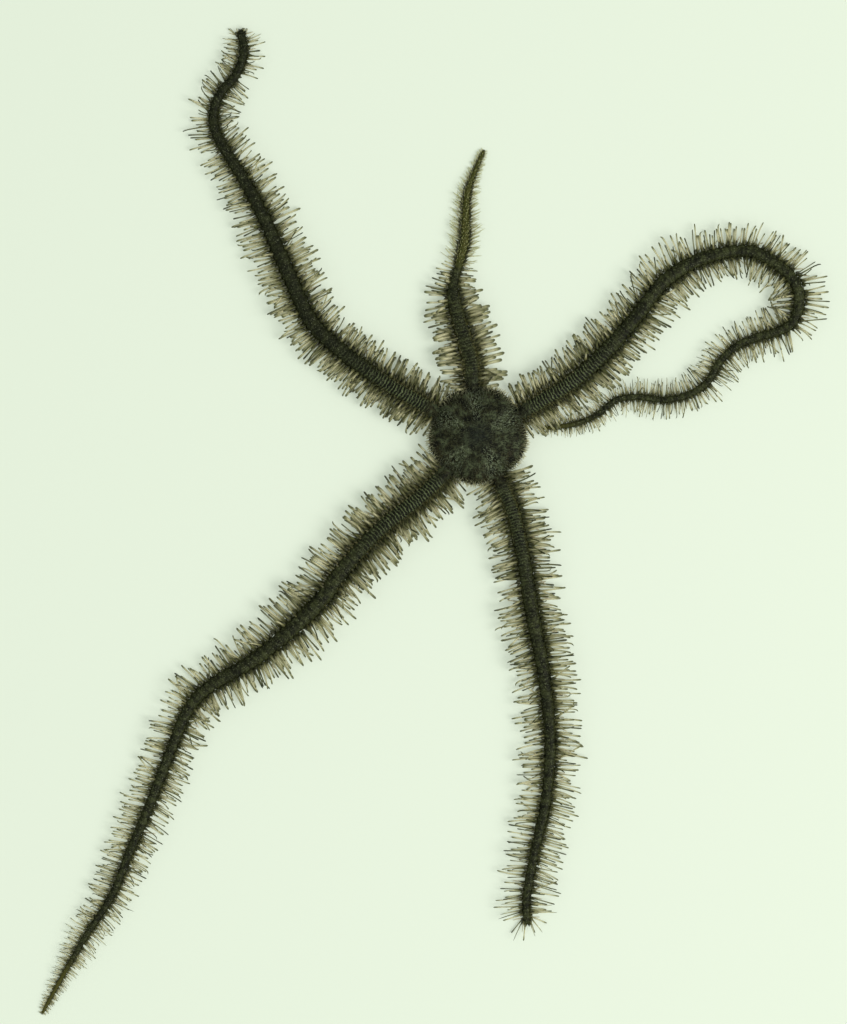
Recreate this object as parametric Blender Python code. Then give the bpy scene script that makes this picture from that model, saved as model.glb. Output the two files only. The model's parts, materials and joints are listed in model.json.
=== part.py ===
"""Brittle star: a small lobed disc with its mouth underneath, and five long spiny arms, laid flat on the floor.

Lengths are written in millimetres times MM, so that everything in the scene is in metres. +Z is up. The origin
is the middle of the mouth, on the floor, and each arm's route is a list of points seen from above.
"""

import math
import random

import bmesh
import bpy
import numpy as np
from mathutils import Vector
from mathutils.bvhtree import BVHTree

MM = 0.001
GAP = 0.3 * MM  # between neighbouring nodes, and the length of the groove between two arm plates
SEED = 7

# ------------------------------------------------------------------ disc and mouth
DISC_WAIST = 4.5 * MM  # radius where an arm leaves the disc
DISC_LOBE = 5.2 * MM  # radius between two arms
DISC_HEIGHT = 3.1 * MM
SECTOR_COLUMNS = 8  # of the disc's outline, from one arm to the next
SOFT_UNDERSIDE = 0.25 * MM  # how far the skin between the arms stays above the floor
SHIELD_RISE = 0.22 * MM  # of the two radial shields at each arm
MOUTH_RADIUS = 2.6 * MM
MOUTH_HEIGHT = 1.1 * MM
SLIT_WIDTH = 0.40 * MM  # the mouth's five slits, between the jaws
SLIT_DEPTH = 0.65 * MM
SLIT_START = 0.52 * MM
SLIT_END = 2.15 * MM
ORAL_SHIELD = (1.7 * MM, 1.05 * MM, 0.55 * MM)  # across, outwards, height
ORAL_SHIELD_PLACE = 3.6 * MM
RIM_SPINE = 0.85 * MM
RIM_SPINES = 5  # on each lobe

# ------------------------------------------------------------------ arms
ARM_HEIGHT = 0.82  # of the arm's width
PLATE_PITCH = 0.80  # an arm plate's length, of the arm's width
SHORTEST_PLATE = 1.42 * MM
PLATE_FLARE = 0.88  # size of a plate's near edge, of its far edge
ROOM_IN_DISC = 5.5 * MM  # how much of each arm the disc makes room for

# An arm's cross-section: flat below, widest at mid-height, with a low keel on top.
# Each point is (share of the half-width, share of the height).
SECTION = ((-0.55, 0.0), (0.55, 0.0), (1.0, 0.42), (0.78, 0.80), (0.0, 1.0), (-0.78, 0.80), (-1.0, 0.42))

# Each arm's route, as (x, y, arm's width, spines' length), and where along it, it is parted into lengths.
# All in millimetres.
ARMS = {
    "regrown_arm": {
        "route": [(0.0, 2.9, 1.7, 2.6), (-0.6, 5.4, 2.3, 2.8), (-0.7, 7.7, 2.5, 2.9), (-1.4, 10.2, 2.3, 2.8),
                  (-2.1, 12.7, 2.1, 2.9), (-2.6, 15.0, 1.8, 2.7), (-2.4, 16.6, 1.2, 1.5), (-1.9, 18.6, 1.1, 1.2),
                  (-1.4, 20.6, 1.1, 1.1), (-1.3, 23.0, 1.0, 1.0), (-1.1, 25.7, 0.8, 0.9), (-0.3, 28.1, 0.6, 0.7),
                  (0.8, 30.6, 0.4, 0.4)],
        "cuts": [13.4],
    },
    "looped_arm": {
        "route": [(2.65, 1.2, 1.7, 2.7), (5.4, 2.9, 2.3, 2.8), (9.9, 5.6, 2.3, 2.9), (13.7, 9.0, 2.2, 2.9),
                  (17.0, 12.8, 2.0, 2.7), (20.1, 16.6, 1.9, 2.8), (24.5, 19.0, 1.7, 2.6), (29.3, 19.5, 1.6, 2.5),
                  (33.2, 17.0, 1.6, 2.6), (34.2, 14.6, 1.6, 2.6), (33.6, 12.2, 1.4, 2.6), (32.0, 11.1, 1.2, 2.5),
                  (29.6, 10.4, 1.1, 2.2), (27.4, 9.4, 1.0, 2.1), (25.7, 7.7, 1.0, 2.1), (24.4, 5.6, 1.0, 2.0),
                  (22.3, 4.3, 0.9, 1.9), (19.8, 3.8, 0.85, 1.9), (17.2, 4.1, 0.85, 1.8), (14.8, 3.8, 0.8, 1.7),
                  (12.7, 2.2, 0.75, 1.6), (10.5, 1.3, 0.7, 1.4), (8.3, 0.9, 0.6, 1.0), (6.4, 0.8, 0.5, 0.6)],
        "cuts": [19.5, 33.5, 42.5, 53.0, 64.5],
    },
    "straight_arm": {
        "route": [(1.45, -2.5, 1.7, 3.0), (2.5, -5.2, 2.2, 3.2), (3.9, -8.7, 2.1, 3.4), (5.0, -13.9, 2.0, 3.2),
                  (5.8, -18.9, 1.95, 3.1), (6.8, -24.0, 1.8, 3.0), (7.5, -29.0, 1.65, 2.9),
                  (7.7, -34.1, 1.55, 2.9), (7.2, -39.2, 1.4, 2.8), (6.1, -44.2, 1.25, 2.8),
                  (5.2, -49.3, 1.1, 2.8), (5.3, -52.1, 1.0, 2.6)],
        "cuts": [18.0, 34.0],
    },
    "long_arm": {
        "route": [(-1.9, -2.2, 1.7, 3.0), (-4.1, -4.6, 2.4, 3.2), (-6.2, -6.6, 2.4, 3.3), (-10.2, -9.8, 2.4, 3.3),
                  (-13.6, -13.4, 2.3, 3.3), (-16.6, -17.4, 2.2, 3.2), (-20.1, -20.9, 2.1, 3.2),
                  (-24.0, -24.0, 1.9, 2.8), (-28.2, -26.5, 1.7, 2.7), (-30.1, -28.2, 1.6, 2.8),
                  (-31.4, -30.4, 1.5, 2.7), (-33.2, -35.0, 1.4, 2.6), (-35.0, -39.6, 1.3, 2.5),
                  (-37.0, -44.3, 1.15, 2.4), (-38.9, -48.9, 1.0, 2.2), (-41.6, -53.1, 0.85, 2.0),
                  (-44.1, -57.4, 0.6, 1.5), (-46.5, -61.8, 0.35, 0.5)],
        "cuts": [18.0, 35.5, 54.0],
    },
    "hooked_arm": {
        "route": [(-2.6, 1.3, 1.7, 2.7), (-5.5, 3.1, 2.3, 2.8), (-9.8, 5.6, 2.2, 2.8), (-13.9, 8.5, 2.1, 2.8),
                  (-17.6, 12.0, 2.05, 2.9), (-19.8, 16.5, 2.0, 2.9), (-22.8, 23.3, 1.8, 2.7),
                  (-25.1, 27.6, 1.6, 2.6), (-27.6, 31.7, 1.35, 2.4), (-28.1, 34.2, 1.3, 2.4),
                  (-27.3, 36.5, 1.2, 2.3), (-25.7, 38.4, 1.2, 2.2), (-24.9, 40.8, 1.15, 2.2),
                  (-25.3, 43.4, 1.05, 2.0)],
        "cuts": [15.5, 30.5, 40.0],
    },
}

# ------------------------------------------------------------------ spines
SPINE_ROOT = 0.29 * MM  # radius
SPINE_ROOT_SHARE = 0.28  # the most that radius may be, of the arm's width
SPINE_TIP = 0.11 * MM
SPINES_PER_PLATE = 2  # on each side
SPINE_SINK = 0.55  # how deep the root goes, of the arm's half-width
FLOOR_CLEARANCE = 0.08 * MM
SISTER_GAP = 0.07 * MM  # between two spines of one node
SHORTEST_SPINE = 0.35 * MM
BENT_SHARE = 0.15  # of the spines
SAMPLES = 10  # points tested along a spine

# The fan of spines on a plate's side. Each is (height of its root as a share of the arm's height,
# degrees above level, length share). Neighbours along the arm take them in turn.
FAN = ((0.42, 10.0, 1.0), (0.80, 58.0, 0.85), (0.30, -3.0, 0.95), (0.64, 33.0, 1.0))

# What is tried in turn when something is in a spine's way: (degrees raised, degrees leaned on, length share).
WAYS_ROUND = ((0, 0, 1.0), (18, 0, 1.0), (36, 0, 0.95), (0, 20, 0.9), (0, -24, 0.9), (30, 20, 0.85),
              (30, -24, 0.85), (52, 0, 0.85), (0, 0, 0.7), (20, 0, 0.55), (0, 0, 0.45))

ARM_SKIN = ("arm_skin", (0.060, 0.068, 0.042, 1.0), 0.55)
DISC_SKIN = ("disc_skin", (0.040, 0.046, 0.030, 1.0), 0.65)
MOUTH_SKIN = ("mouth_skin", (0.210, 0.190, 0.130, 1.0), 0.60)


# ------------------------------------------------------------------ scene helpers
def start_empty():
    for obj in list(bpy.data.objects):
        bpy.data.objects.remove(obj)


def new_collection(name):
    made = bpy.data.collections.new(name)
    bpy.context.scene.collection.children.link(made)
    return made


def material(name, colour, roughness):
    made = bpy.data.materials.new(name)
    made.use_nodes = True
    shader = made.node_tree.nodes["Principled BSDF"]
    shader.inputs["Base Color"].default_value = colour
    shader.inputs["Roughness"].default_value = roughness
    shader.inputs["Metallic"].default_value = 0.0
    return made


def mesh_object(name, bm, collection, skin=None):
    """Ends the bmesh and puts its shape in the collection."""
    bmesh.ops.recalc_face_normals(bm, faces=bm.faces)
    mesh = bpy.data.meshes.new(name)
    bm.to_mesh(mesh)
    bm.free()
    if skin:
        mesh.materials.append(skin)
    made = bpy.data.objects.new(name, mesh)
    collection.objects.link(made)
    return made


def loft(rings):
    """A closed shape through rings of equally many points, with a flat face at each end."""
    bm = bmesh.new()
    verts = [[bm.verts.new(point) for point in ring] for ring in rings]
    for near, far in zip(verts, verts[1:]):
        for i in range(len(near)):
            j = (i + 1) % len(near)
            bm.faces.new((near[i], near[j], far[j], far[i]))
    bm.faces.new(verts[0])
    bm.faces.new(verts[-1])
    return bm


def combine(target, operation, pieces):
    """One Boolean of the target with a whole collection, applied, with the collection's objects then removed."""
    step = target.modifiers.new(operation.lower(), "BOOLEAN")
    step.operation = operation
    step.solver = "EXACT"
    step.operand_type = "COLLECTION"
    step.collection = pieces
    bpy.context.view_layer.update()
    seen = target.evaluated_get(bpy.context.evaluated_depsgraph_get())
    whole = bpy.data.meshes.new_from_object(seen)
    target.modifiers.clear()
    target.data = whole
    for piece in list(pieces.objects):
        bpy.data.objects.remove(piece)


def islands(bm):
    """The faces of each separate closed surface."""
    left = set(bm.faces)
    while left:
        found = [left.pop()]
        for face in found:
            near = {other for edge in face.edges for other in edge.link_faces} & left
            left -= near
            found.extend(near)
        yield found


def keep_largest_surface(obj):
    bm = bmesh.new()
    bm.from_mesh(obj.data)
    surfaces = sorted(islands(bm), key=lambda faces: -sum(face.calc_area() for face in faces))
    for faces in surfaces[1:]:
        bmesh.ops.delete(bm, geom=faces, context="FACES")
    bm.to_mesh(obj.data)
    bm.free()


# ------------------------------------------------------------------ an arm's route
class Route:
    """A smooth curve through an arm's points. s is the distance along it."""

    STEPS = 12

    def __init__(self, points):
        knots = np.array(points, float) * MM
        ends = np.vstack([2 * knots[0] - knots[1], knots, 2 * knots[-1] - knots[-2]])
        line = []
        for before, near, far, after in zip(ends, ends[1:], ends[2:], ends[3:]):
            for t in np.arange(self.STEPS) / self.STEPS:
                line.append(0.5 * (2 * near + (far - before) * t
                                   + (2 * before - 5 * near + 4 * far - after) * t ** 2
                                   + (3 * near - 3 * far + after - before) * t ** 3))
        line.append(knots[-1])
        self.line = np.array(line)
        steps = np.linalg.norm(np.diff(self.line[:, :2], axis=0), axis=1)
        self.s = np.concatenate([[0.0], np.cumsum(steps)])
        self.length = self.s[-1]

    def value(self, s, column):
        return float(np.interp(s, self.s, self.line[:, column]))

    def centre(self, s):
        return np.array([self.value(s, 0), self.value(s, 1), 0.0])

    def width(self, s):
        return self.value(s, 2)

    def spine(self, s):
        return self.value(s, 3)

    def along(self, s):
        reach = 0.4 * MM
        step = self.centre(min(s + reach, self.length)) - self.centre(max(s - reach, 0.0))
        return step / np.linalg.norm(step)

    def left(self, s):
        x, y, _ = self.along(s)
        return np.array([-y, x, 0.0])

    def plate_length(self, s):
        return max(SHORTEST_PLATE, PLATE_PITCH * self.width(s))

    def plate_edges(self):
        """Distances along the route where one arm plate ends and the next begins."""
        edges = [0.0]
        while self.length - edges[-1] > 1.6 * self.plate_length(edges[-1]):
            edges.append(edges[-1] + self.plate_length(edges[-1]))
        return edges + [self.length]

    def lengths(self, cuts):
        """The plates, as (start, end), of each length that the arm is parted into."""
        edges = self.plate_edges()
        plates = list(zip(edges, edges[1:]))
        parted = [0] + [int(np.argmin(np.abs(np.array(edges) - cut * MM))) for cut in cuts] + [len(plates)]
        return [plates[a:b] for a, b in zip(parted, parted[1:])]


def section(route, s, size=1.0, grown=0.0, floor=0.0):
    """The arm's outline at s, scaled by size, then grown to the sides and the top."""
    half = 0.5 * route.width(s) * size + grown
    height = ARM_HEIGHT * route.width(s) * size + grown
    centre, left = route.centre(s), route.left(s)
    return [centre + left * (half * across) + np.array([0.0, 0.0, height * up if up else floor])
            for across, up in SECTION]


def arm_body(route, plates):
    """Plates that widen towards the arm's tip, with a groove where one ends and the next begins."""
    rings = []
    for start, end in plates:
        rings += [section(route, start + 0.5 * GAP, PLATE_FLARE), section(route, end - 0.5 * GAP)]
    return loft(rings)


# ------------------------------------------------------------------ disc
def arm_angles(routes):
    """The direction in which each arm leaves the disc."""
    found = []
    for route in routes.values():
        rim = np.argmax(np.linalg.norm(route.line[:, :2], axis=1) > DISC_WAIST)
        found.append(math.atan2(route.line[rim, 1], route.line[rim, 0]) % math.tau)
    return sorted(found)


def columns(angles):
    """The disc's outline as (angle, place): place runs from 0 at one arm to 1 at the next."""
    found = []
    for near, far in zip(angles, angles[1:] + [angles[0] + math.tau]):
        for k in range(SECTOR_COLUMNS):
            place = (k + 0.5) / SECTOR_COLUMNS
            found.append((near + (far - near) * place, place))
    return found


def rim_radius(place):
    return DISC_WAIST + (DISC_LOBE - DISC_WAIST) * math.sin(math.pi * place) ** 0.5


# The disc's profile from the middle of its underside to the middle of its top.
# Each point is (share of the outline's radius, share of the height above the soft underside).
DISC_PROFILE = ((0.45, 0.0), (0.84, 0.0), (0.95, 0.14), (1.0, 0.36), (0.98, 0.58), (0.90, 0.76), (0.74, 0.88),
                (0.50, 0.95), (0.22, 0.99))
# How much of the radial shields' rise each of those rings has.
SHIELD_PROFILE = (0.0, 0.0, 0.0, 0.0, 0.5, 1.0, 1.0, 0.35, 0.0)


def shield_rise(place):
    """A pair of shields flanks each arm: one on either side of the groove that runs along the arm's middle."""
    from_arm = min(place, 1.0 - place)
    return max(0.0, 1.0 - abs(from_arm - 0.18) / 0.16)


def disc_body(angles):
    rings = []
    for (out, up), share in zip(DISC_PROFILE, SHIELD_PROFILE):
        ring = []
        for angle, place in columns(angles):
            radius = rim_radius(place) * out
            level = SOFT_UNDERSIDE + (DISC_HEIGHT - SOFT_UNDERSIDE) * up
            level += SHIELD_RISE * share * shield_rise(place)
            ring.append((radius * math.cos(angle), radius * math.sin(angle), level))
        rings.append(ring)
    return loft(rings)


def cylinder(radius, low, high, sides=30):
    bm = bmesh.new()
    bmesh.ops.create_cone(bm, cap_ends=True, segments=sides, radius1=radius, radius2=radius, depth=high - low)
    bmesh.ops.translate(bm, verts=bm.verts, vec=(0.0, 0.0, 0.5 * (low + high)))
    return bm


def between(angles):
    """The middle direction of each space between two arms."""
    return [0.5 * (near + far) for near, far in zip(angles, angles[1:] + [angles[0] + math.tau])]


def oral_shield(angle):
    """A rounded plate under the disc, flush with the floor."""
    across, outwards, height = ORAL_SHIELD
    rings = []
    for size, level in ((0.8, 0.0), (1.0, 0.2 * height), (1.0, height)):
        ring = []
        for k in range(8):
            turn = math.tau * (k + 0.5) / 8
            x = ORAL_SHIELD_PLACE + 0.5 * outwards * size * math.cos(turn)
            y = 0.5 * across * size * math.sin(turn)
            ring.append((x * math.cos(angle) - y * math.sin(angle), x * math.sin(angle) + y * math.cos(angle), level))
        rings.append(ring)
    return loft(rings)


def arm_room(route):
    """The space an arm needs in the disc: its own outline with the gap all round, from the mouth outwards."""
    rings = [section(route, s, 1.0, GAP, -MM) for s in np.linspace(0.0, ROOM_IN_DISC, 6)]
    rings[0] = [point - route.along(0.0) * MM for point in rings[0]]
    return loft(rings)


def mouth_slit(angle):
    bm = bmesh.new()
    bmesh.ops.create_cube(bm, size=1.0)
    bmesh.ops.scale(bm, verts=bm.verts, vec=(SLIT_END - SLIT_START, SLIT_WIDTH, 2 * SLIT_DEPTH))
    bmesh.ops.translate(bm, verts=bm.verts, vec=(0.5 * (SLIT_END + SLIT_START), 0.0, 0.0))
    for vert in bm.verts:
        x, y, z = vert.co
        vert.co = (x * math.cos(angle) - y * math.sin(angle), x * math.sin(angle) + y * math.cos(angle), z)
    return bm


# ------------------------------------------------------------------ spines
class Crowd:
    """All that is placed so far, to keep each new spine clear of it."""

    def __init__(self):
        self.trees = {}
        self.points = np.empty((0, 3))
        self.radii = np.empty(0)
        self.owners = np.empty(0, object)

    def add(self, node):
        bm = bmesh.new()
        bm.from_mesh(node.data)
        self.trees[node.name] = BVHTree.FromBMesh(bm)
        bm.free()

    def walk(self, spine):
        """Points and radii along the part of the spine that stands out."""
        line, radii = spine
        ends = np.linspace(0.0, len(line) - 2, SAMPLES)
        knots = np.arange(len(line) - 1)
        points = np.stack([np.interp(ends, knots, line[1:, axis]) for axis in range(3)], axis=1)
        return points, np.interp(ends, knots, radii[1:])

    def clear(self, owner, spine):
        points, radii = self.walk(spine)
        if (points[:, 2] - radii).min() < FLOOR_CLEARANCE:
            return False
        for name, tree in self.trees.items():
            if name == owner:
                continue
            for point, radius in zip(points, radii):
                if tree.find_nearest(Vector(point), GAP + radius)[0]:
                    return False
        return self.clear_of_spines(owner, points, radii)

    def clear_of_spines(self, owner, points, radii):
        near = np.linalg.norm(self.points - points[0], axis=1) < 9 * MM
        apart = np.linalg.norm(self.points[near][:, None] - points[None], axis=2)
        apart -= self.radii[near][:, None] + radii[None]
        needed = np.where(self.owners[near] == owner, SISTER_GAP, GAP)
        return bool((apart > needed[:, None]).all())

    def take(self, owner, spine):
        points, radii = self.walk(spine)
        self.points = np.vstack([self.points, points])
        self.radii = np.concatenate([self.radii, radii])
        self.owners = np.concatenate([self.owners, np.full(len(points), owner, object)])


def direction(out, on, raised, leaned):
    """A unit vector from the way out, leaned on along the arm and raised, both in degrees."""
    raised, leaned = math.radians(raised), math.radians(leaned)
    level = out * math.cos(leaned) + on * math.sin(leaned)
    return level * math.cos(raised) + np.array([0.0, 0.0, math.sin(raised)])


def spine_line(root, sink, way, end_way, length, thick):
    """A spine's knots: sunk root, surface, bend if it has one, and tip, with their radii."""
    tip_thick = min(SPINE_TIP, 0.6 * thick)
    if end_way is None:
        return np.array([root - way * sink, root, root + way * length]), np.array([thick, thick, tip_thick])
    bend = root + way * (0.55 * length)
    line = np.array([root - way * sink, root, bend, bend + end_way * (0.45 * length)])
    return line, np.array([thick, thick, 0.45 * thick + 0.55 * tip_thick, tip_thick])


def spine_mesh(spine, start_turn):
    """Three-sided, from the sunk root to a blunt tip."""
    line, radii = spine
    last = len(line) - 1
    rings = []
    for k in [0] + list(range(2, last + 1)):
        way = line[min(k + 1, last)] - line[max(k - 1, 0)]
        way /= np.linalg.norm(way)
        side = np.cross(way, (0.3, 0.2, 1.0))
        side /= np.linalg.norm(side)
        other = np.cross(way, side)
        ring = []
        for corner in range(3):
            turn = start_turn + math.tau * corner / 3
            ring.append(line[k] + radii[k] * (side * math.cos(turn) + other * math.sin(turn)))
        rings.append(ring)
    return loft(rings)


def grow_spine(crowd, owner, rng, spot):
    """Places one spine, taking the first way round whatever is near. Returns nothing if there is no room."""
    root, out, on, raised, length, thick, sink = spot
    raised += rng.uniform(-7.0, 7.0)
    leaned = rng.uniform(3.0, 22.0)
    length *= rng.uniform(0.88, 1.12)
    is_bent = rng.random() < BENT_SHARE
    bent, turned = rng.uniform(-16.0, 16.0), rng.uniform(-14.0, 20.0)
    for more, lean, share in WAYS_ROUND:
        if length * share < SHORTEST_SPINE:
            continue
        way = direction(out, on, raised + more, leaned + lean)
        end_way = direction(out, on, raised + more + bent, leaned + lean + turned) if is_bent else None
        spine = spine_line(root, sink, way, end_way, length * share, thick)
        if crowd.clear(owner, spine):
            crowd.take(owner, spine)
            return spine
    return None


def arm_spots(route, plates, first):
    """Where an arm length's spines grow: two on each side of each plate, the fan taken in turn."""
    for number, (start, end) in enumerate(plates, first):
        for side in (1, -1):
            for k in range(SPINES_PER_PLATE):
                s = start + (end - start) * (k + 0.5) / SPINES_PER_PLATE
                up, raised, share = FAN[(SPINES_PER_PLATE * number + k + (side < 0)) % len(FAN)]
                half = 0.5 * route.width(s)
                thick = min(SPINE_ROOT, SPINE_ROOT_SHARE * route.width(s))
                level = max(up * ARM_HEIGHT * route.width(s), thick + FLOOR_CLEARANCE)
                across = np.interp(level / (ARM_HEIGHT * route.width(s)), (0.0, 0.42, 0.8, 1.0), (0.55, 1.0, 0.78, 0.0))
                out = route.left(s) * side
                root = route.centre(s) + out * (0.92 * half * across) + np.array([0.0, 0.0, level])
                yield root, out, route.along(s), raised, route.spine(s) * share, thick, SPINE_SINK * half


def rim_spots(angles, rng):
    """Where the short spines of the disc's rim grow: on each lobe, clear of the arms."""
    for near, far in zip(angles, angles[1:] + [angles[0] + math.tau]):
        for k in range(RIM_SPINES):
            place = 0.27 + 0.46 * (k + rng.uniform(0.3, 0.7)) / RIM_SPINES
            angle = near + (far - near) * place
            out = np.array([math.cos(angle), math.sin(angle), 0.0])
            on = np.array([-math.sin(angle), math.cos(angle), 0.0])
            level = DISC_HEIGHT * (0.36 if k % 2 else 0.60)
            root = out * (rim_radius(place) * 0.97) + np.array([0.0, 0.0, level])
            yield root, out, on, (8.0 if k % 2 else 30.0), RIM_SPINE, SPINE_ROOT, 0.8 * MM


def grow(node, spots, crowd, rng, workshop):
    for spot in spots:
        spine = grow_spine(crowd, node.name, rng, spot)
        if spine:
            mesh_object("spine", spine_mesh(spine, rng.uniform(0.0, math.tau)), workshop)
    combine(node, "UNION", workshop)
    keep_largest_surface(node)


# ------------------------------------------------------------------ the whole animal
def build_arms(routes, star, skin):
    """Each arm length's body, with what its spines need to know."""
    arms = []
    for name, route in routes.items():
        plates_before = 0
        for number, plates in enumerate(route.lengths(ARMS[name]["cuts"]), 1):
            body = mesh_object(f"{name}_{number}", arm_body(route, plates), star, skin)
            arms.append((body, route, plates, plates_before))
            plates_before += len(plates)
    return arms


def cut_rooms(disc, routes, star, workshop):
    """Makes room in the disc for the mouth and the arms, joined first so that one cut takes them all."""
    room = mesh_object("room", cylinder(MOUTH_RADIUS + GAP, -MM, MOUTH_HEIGHT + GAP), star)
    for route in routes.values():
        mesh_object("arm_room", arm_room(route), workshop)
    combine(room, "UNION", workshop)
    star.objects.unlink(room)
    workshop.objects.link(room)
    combine(disc, "DIFFERENCE", workshop)
    keep_largest_surface(disc)


def build():
    start_empty()
    star = new_collection("brittle_star")
    workshop = new_collection("cutters")
    skins = {entry[0]: material(*entry) for entry in (ARM_SKIN, DISC_SKIN, MOUTH_SKIN)}
    routes = {name: Route(arm["route"]) for name, arm in ARMS.items()}
    angles = arm_angles(routes)
    rng = random.Random(SEED)
    crowd = Crowd()

    mouth = mesh_object("mouth", cylinder(MOUTH_RADIUS, 0.0, MOUTH_HEIGHT), star, skins["mouth_skin"])
    for angle in angles:
        mesh_object("slit", mouth_slit(angle), workshop)
    combine(mouth, "DIFFERENCE", workshop)
    arms = build_arms(routes, star, skins["arm_skin"])
    for body in [mouth] + [arm[0] for arm in arms]:
        crowd.add(body)

    disc = mesh_object("disc", disc_body(angles), star, skins["disc_skin"])
    for angle in between(angles):
        mesh_object("oral_shield", oral_shield(angle), workshop)
    grow(disc, rim_spots(angles, rng), crowd, rng, workshop)
    cut_rooms(disc, routes, star, workshop)
    crowd.add(disc)
    for body, route, plates, plates_before in arms:
        grow(body, arm_spots(route, plates, plates_before), crowd, rng, workshop)


build()
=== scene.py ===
# %% [markdown]
# # A brittle star, as large as life
#
# A brittle star is a small soft disc with its mouth underneath, and five thin arms covered with spines.
# This one lies flat, with its upper side up. Its disc is about 10 mm across and its longest arm is 77 mm.
# One arm has lost its end and is growing back, thin and green, and two others end where they have broken.
#
# The model is made in this order: the arms, the disc, one skin over both, the coat of spines, the mouth,
# and last the floor, the lights and the camera. All lengths are in metres, and MM turns millimetres into
# metres.

# %% Open the shared frame
import json
import math
import random

import bmesh
import bpy
import numpy as np
from mathutils import Matrix, Vector
from mathutils.kdtree import KDTree

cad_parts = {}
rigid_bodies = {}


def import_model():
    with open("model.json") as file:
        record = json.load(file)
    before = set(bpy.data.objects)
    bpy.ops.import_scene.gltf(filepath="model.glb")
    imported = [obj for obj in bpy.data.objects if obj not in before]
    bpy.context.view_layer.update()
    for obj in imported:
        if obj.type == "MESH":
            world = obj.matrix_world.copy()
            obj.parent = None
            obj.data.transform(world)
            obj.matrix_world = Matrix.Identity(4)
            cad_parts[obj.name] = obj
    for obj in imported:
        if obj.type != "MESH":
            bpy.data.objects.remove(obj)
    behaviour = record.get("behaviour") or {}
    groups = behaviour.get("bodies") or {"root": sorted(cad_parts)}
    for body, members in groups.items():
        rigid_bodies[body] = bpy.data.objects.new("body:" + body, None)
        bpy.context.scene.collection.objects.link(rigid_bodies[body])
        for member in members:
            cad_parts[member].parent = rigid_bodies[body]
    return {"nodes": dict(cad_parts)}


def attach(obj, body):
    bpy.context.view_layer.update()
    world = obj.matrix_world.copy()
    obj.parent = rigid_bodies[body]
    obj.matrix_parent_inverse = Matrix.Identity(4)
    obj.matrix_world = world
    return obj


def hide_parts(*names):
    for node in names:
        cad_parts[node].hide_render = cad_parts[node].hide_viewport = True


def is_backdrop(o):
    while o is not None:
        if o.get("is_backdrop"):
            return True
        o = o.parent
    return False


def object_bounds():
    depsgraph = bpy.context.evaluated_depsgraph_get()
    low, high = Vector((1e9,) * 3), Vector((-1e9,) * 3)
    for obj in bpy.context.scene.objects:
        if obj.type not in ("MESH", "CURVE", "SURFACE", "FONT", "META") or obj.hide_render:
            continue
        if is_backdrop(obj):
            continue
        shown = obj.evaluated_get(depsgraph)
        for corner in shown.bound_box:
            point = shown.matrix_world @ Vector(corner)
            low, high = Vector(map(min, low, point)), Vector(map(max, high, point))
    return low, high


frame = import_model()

MM = 0.001
box_low, box_high = (np.array(corner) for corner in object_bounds())
print("room for the model, in mm:", np.round((box_high - box_low) / MM, 2))

# %% [markdown]
# ## A few small tools
#
# Colours are easiest to choose as the hex numbers of a paint program. Blender's shaders want linear light
# instead, so one function turns the one into the other. A second function adds a node to any tree, with its
# settings and its links. Others add an object or a material, and the last runs a Geometry Nodes tree on a
# start mesh and keeps the result as a plain mesh.

# %% Colours and nodes
def linear(colour):
    """A hex colour such as "#808040" as linear red, green, blue and alpha."""
    shares = [int(colour[i:i + 2], 16) / 255 for i in (1, 3, 5)]
    return [s / 12.92 if s <= 0.04045 else ((s + 0.055) / 1.055) ** 2.4 for s in shares] + [1.0]


def node(tree, kind, settings=(), **values):
    """Adds a node. A value is a number, a colour or the node or socket to link. in_0 is the first input."""
    made = tree.nodes.new(kind)
    for name, value in dict(settings).items():
        setattr(made, name, value)
    for name, value in values.items():
        if name.startswith("in_"):
            socket = made.inputs[int(name[3:])]
        else:
            socket = next(s for s in made.inputs if s.enabled and s.name == name.replace("_", " "))
        if isinstance(value, bpy.types.Node):
            value = next(s for s in value.outputs if s.enabled)
        if isinstance(value, bpy.types.NodeSocket):
            tree.links.new(value, socket)
        else:
            socket.default_value = value
    return made


# %% Objects and materials
def in_scene(name, data):
    """A new object in the scene that carries a mesh, a lamp or a camera."""
    made = bpy.data.objects.new(name, data)
    bpy.context.scene.collection.objects.link(made)
    return made


def triangles(mesh):
    return sum(len(face.vertices) - 2 for face in mesh.polygons)


def new_material(name):
    """A material, its node tree and the shader that the tree starts with."""
    made = bpy.data.materials.new(name)
    made.use_nodes = True
    return made, made.node_tree, made.node_tree.nodes["Principled BSDF"]


# %% Geometry Nodes trees
def new_tree(name, inputs):
    """A tree with one geometry in, one geometry out, and named inputs given as {name: socket type}."""
    tree = bpy.data.node_groups.new(name, "GeometryNodeTree")
    tree.interface.new_socket("Geometry", in_out="INPUT", socket_type="NodeSocketGeometry")
    tree.interface.new_socket("Geometry", in_out="OUTPUT", socket_type="NodeSocketGeometry")
    for label, kind in inputs.items():
        tree.interface.new_socket(label, in_out="INPUT", socket_type=kind)
    return tree, node(tree, "NodeGroupInput").outputs, node(tree, "NodeGroupOutput")


workshop = bpy.data.collections.new("workshop")
bpy.context.scene.collection.children.link(workshop)


def grown(name, start, tree, **values):
    """Runs the tree on the start object and returns the result as a plain mesh object of its own."""
    step = start.modifiers.new(tree.name, "NODES")
    step.node_group = tree
    for item in tree.interface.items_tree:
        if item.in_out == "INPUT" and item.name.replace(" ", "_") in values:
            step[item.identifier] = values[item.name.replace(" ", "_")]
    bpy.context.view_layer.update()
    seen = start.evaluated_get(bpy.context.evaluated_depsgraph_get())
    made = in_scene(name, bpy.data.meshes.new_from_object(seen))
    start.modifiers.remove(step)
    print(name, "has", triangles(made.data), "triangles")
    return made


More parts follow.
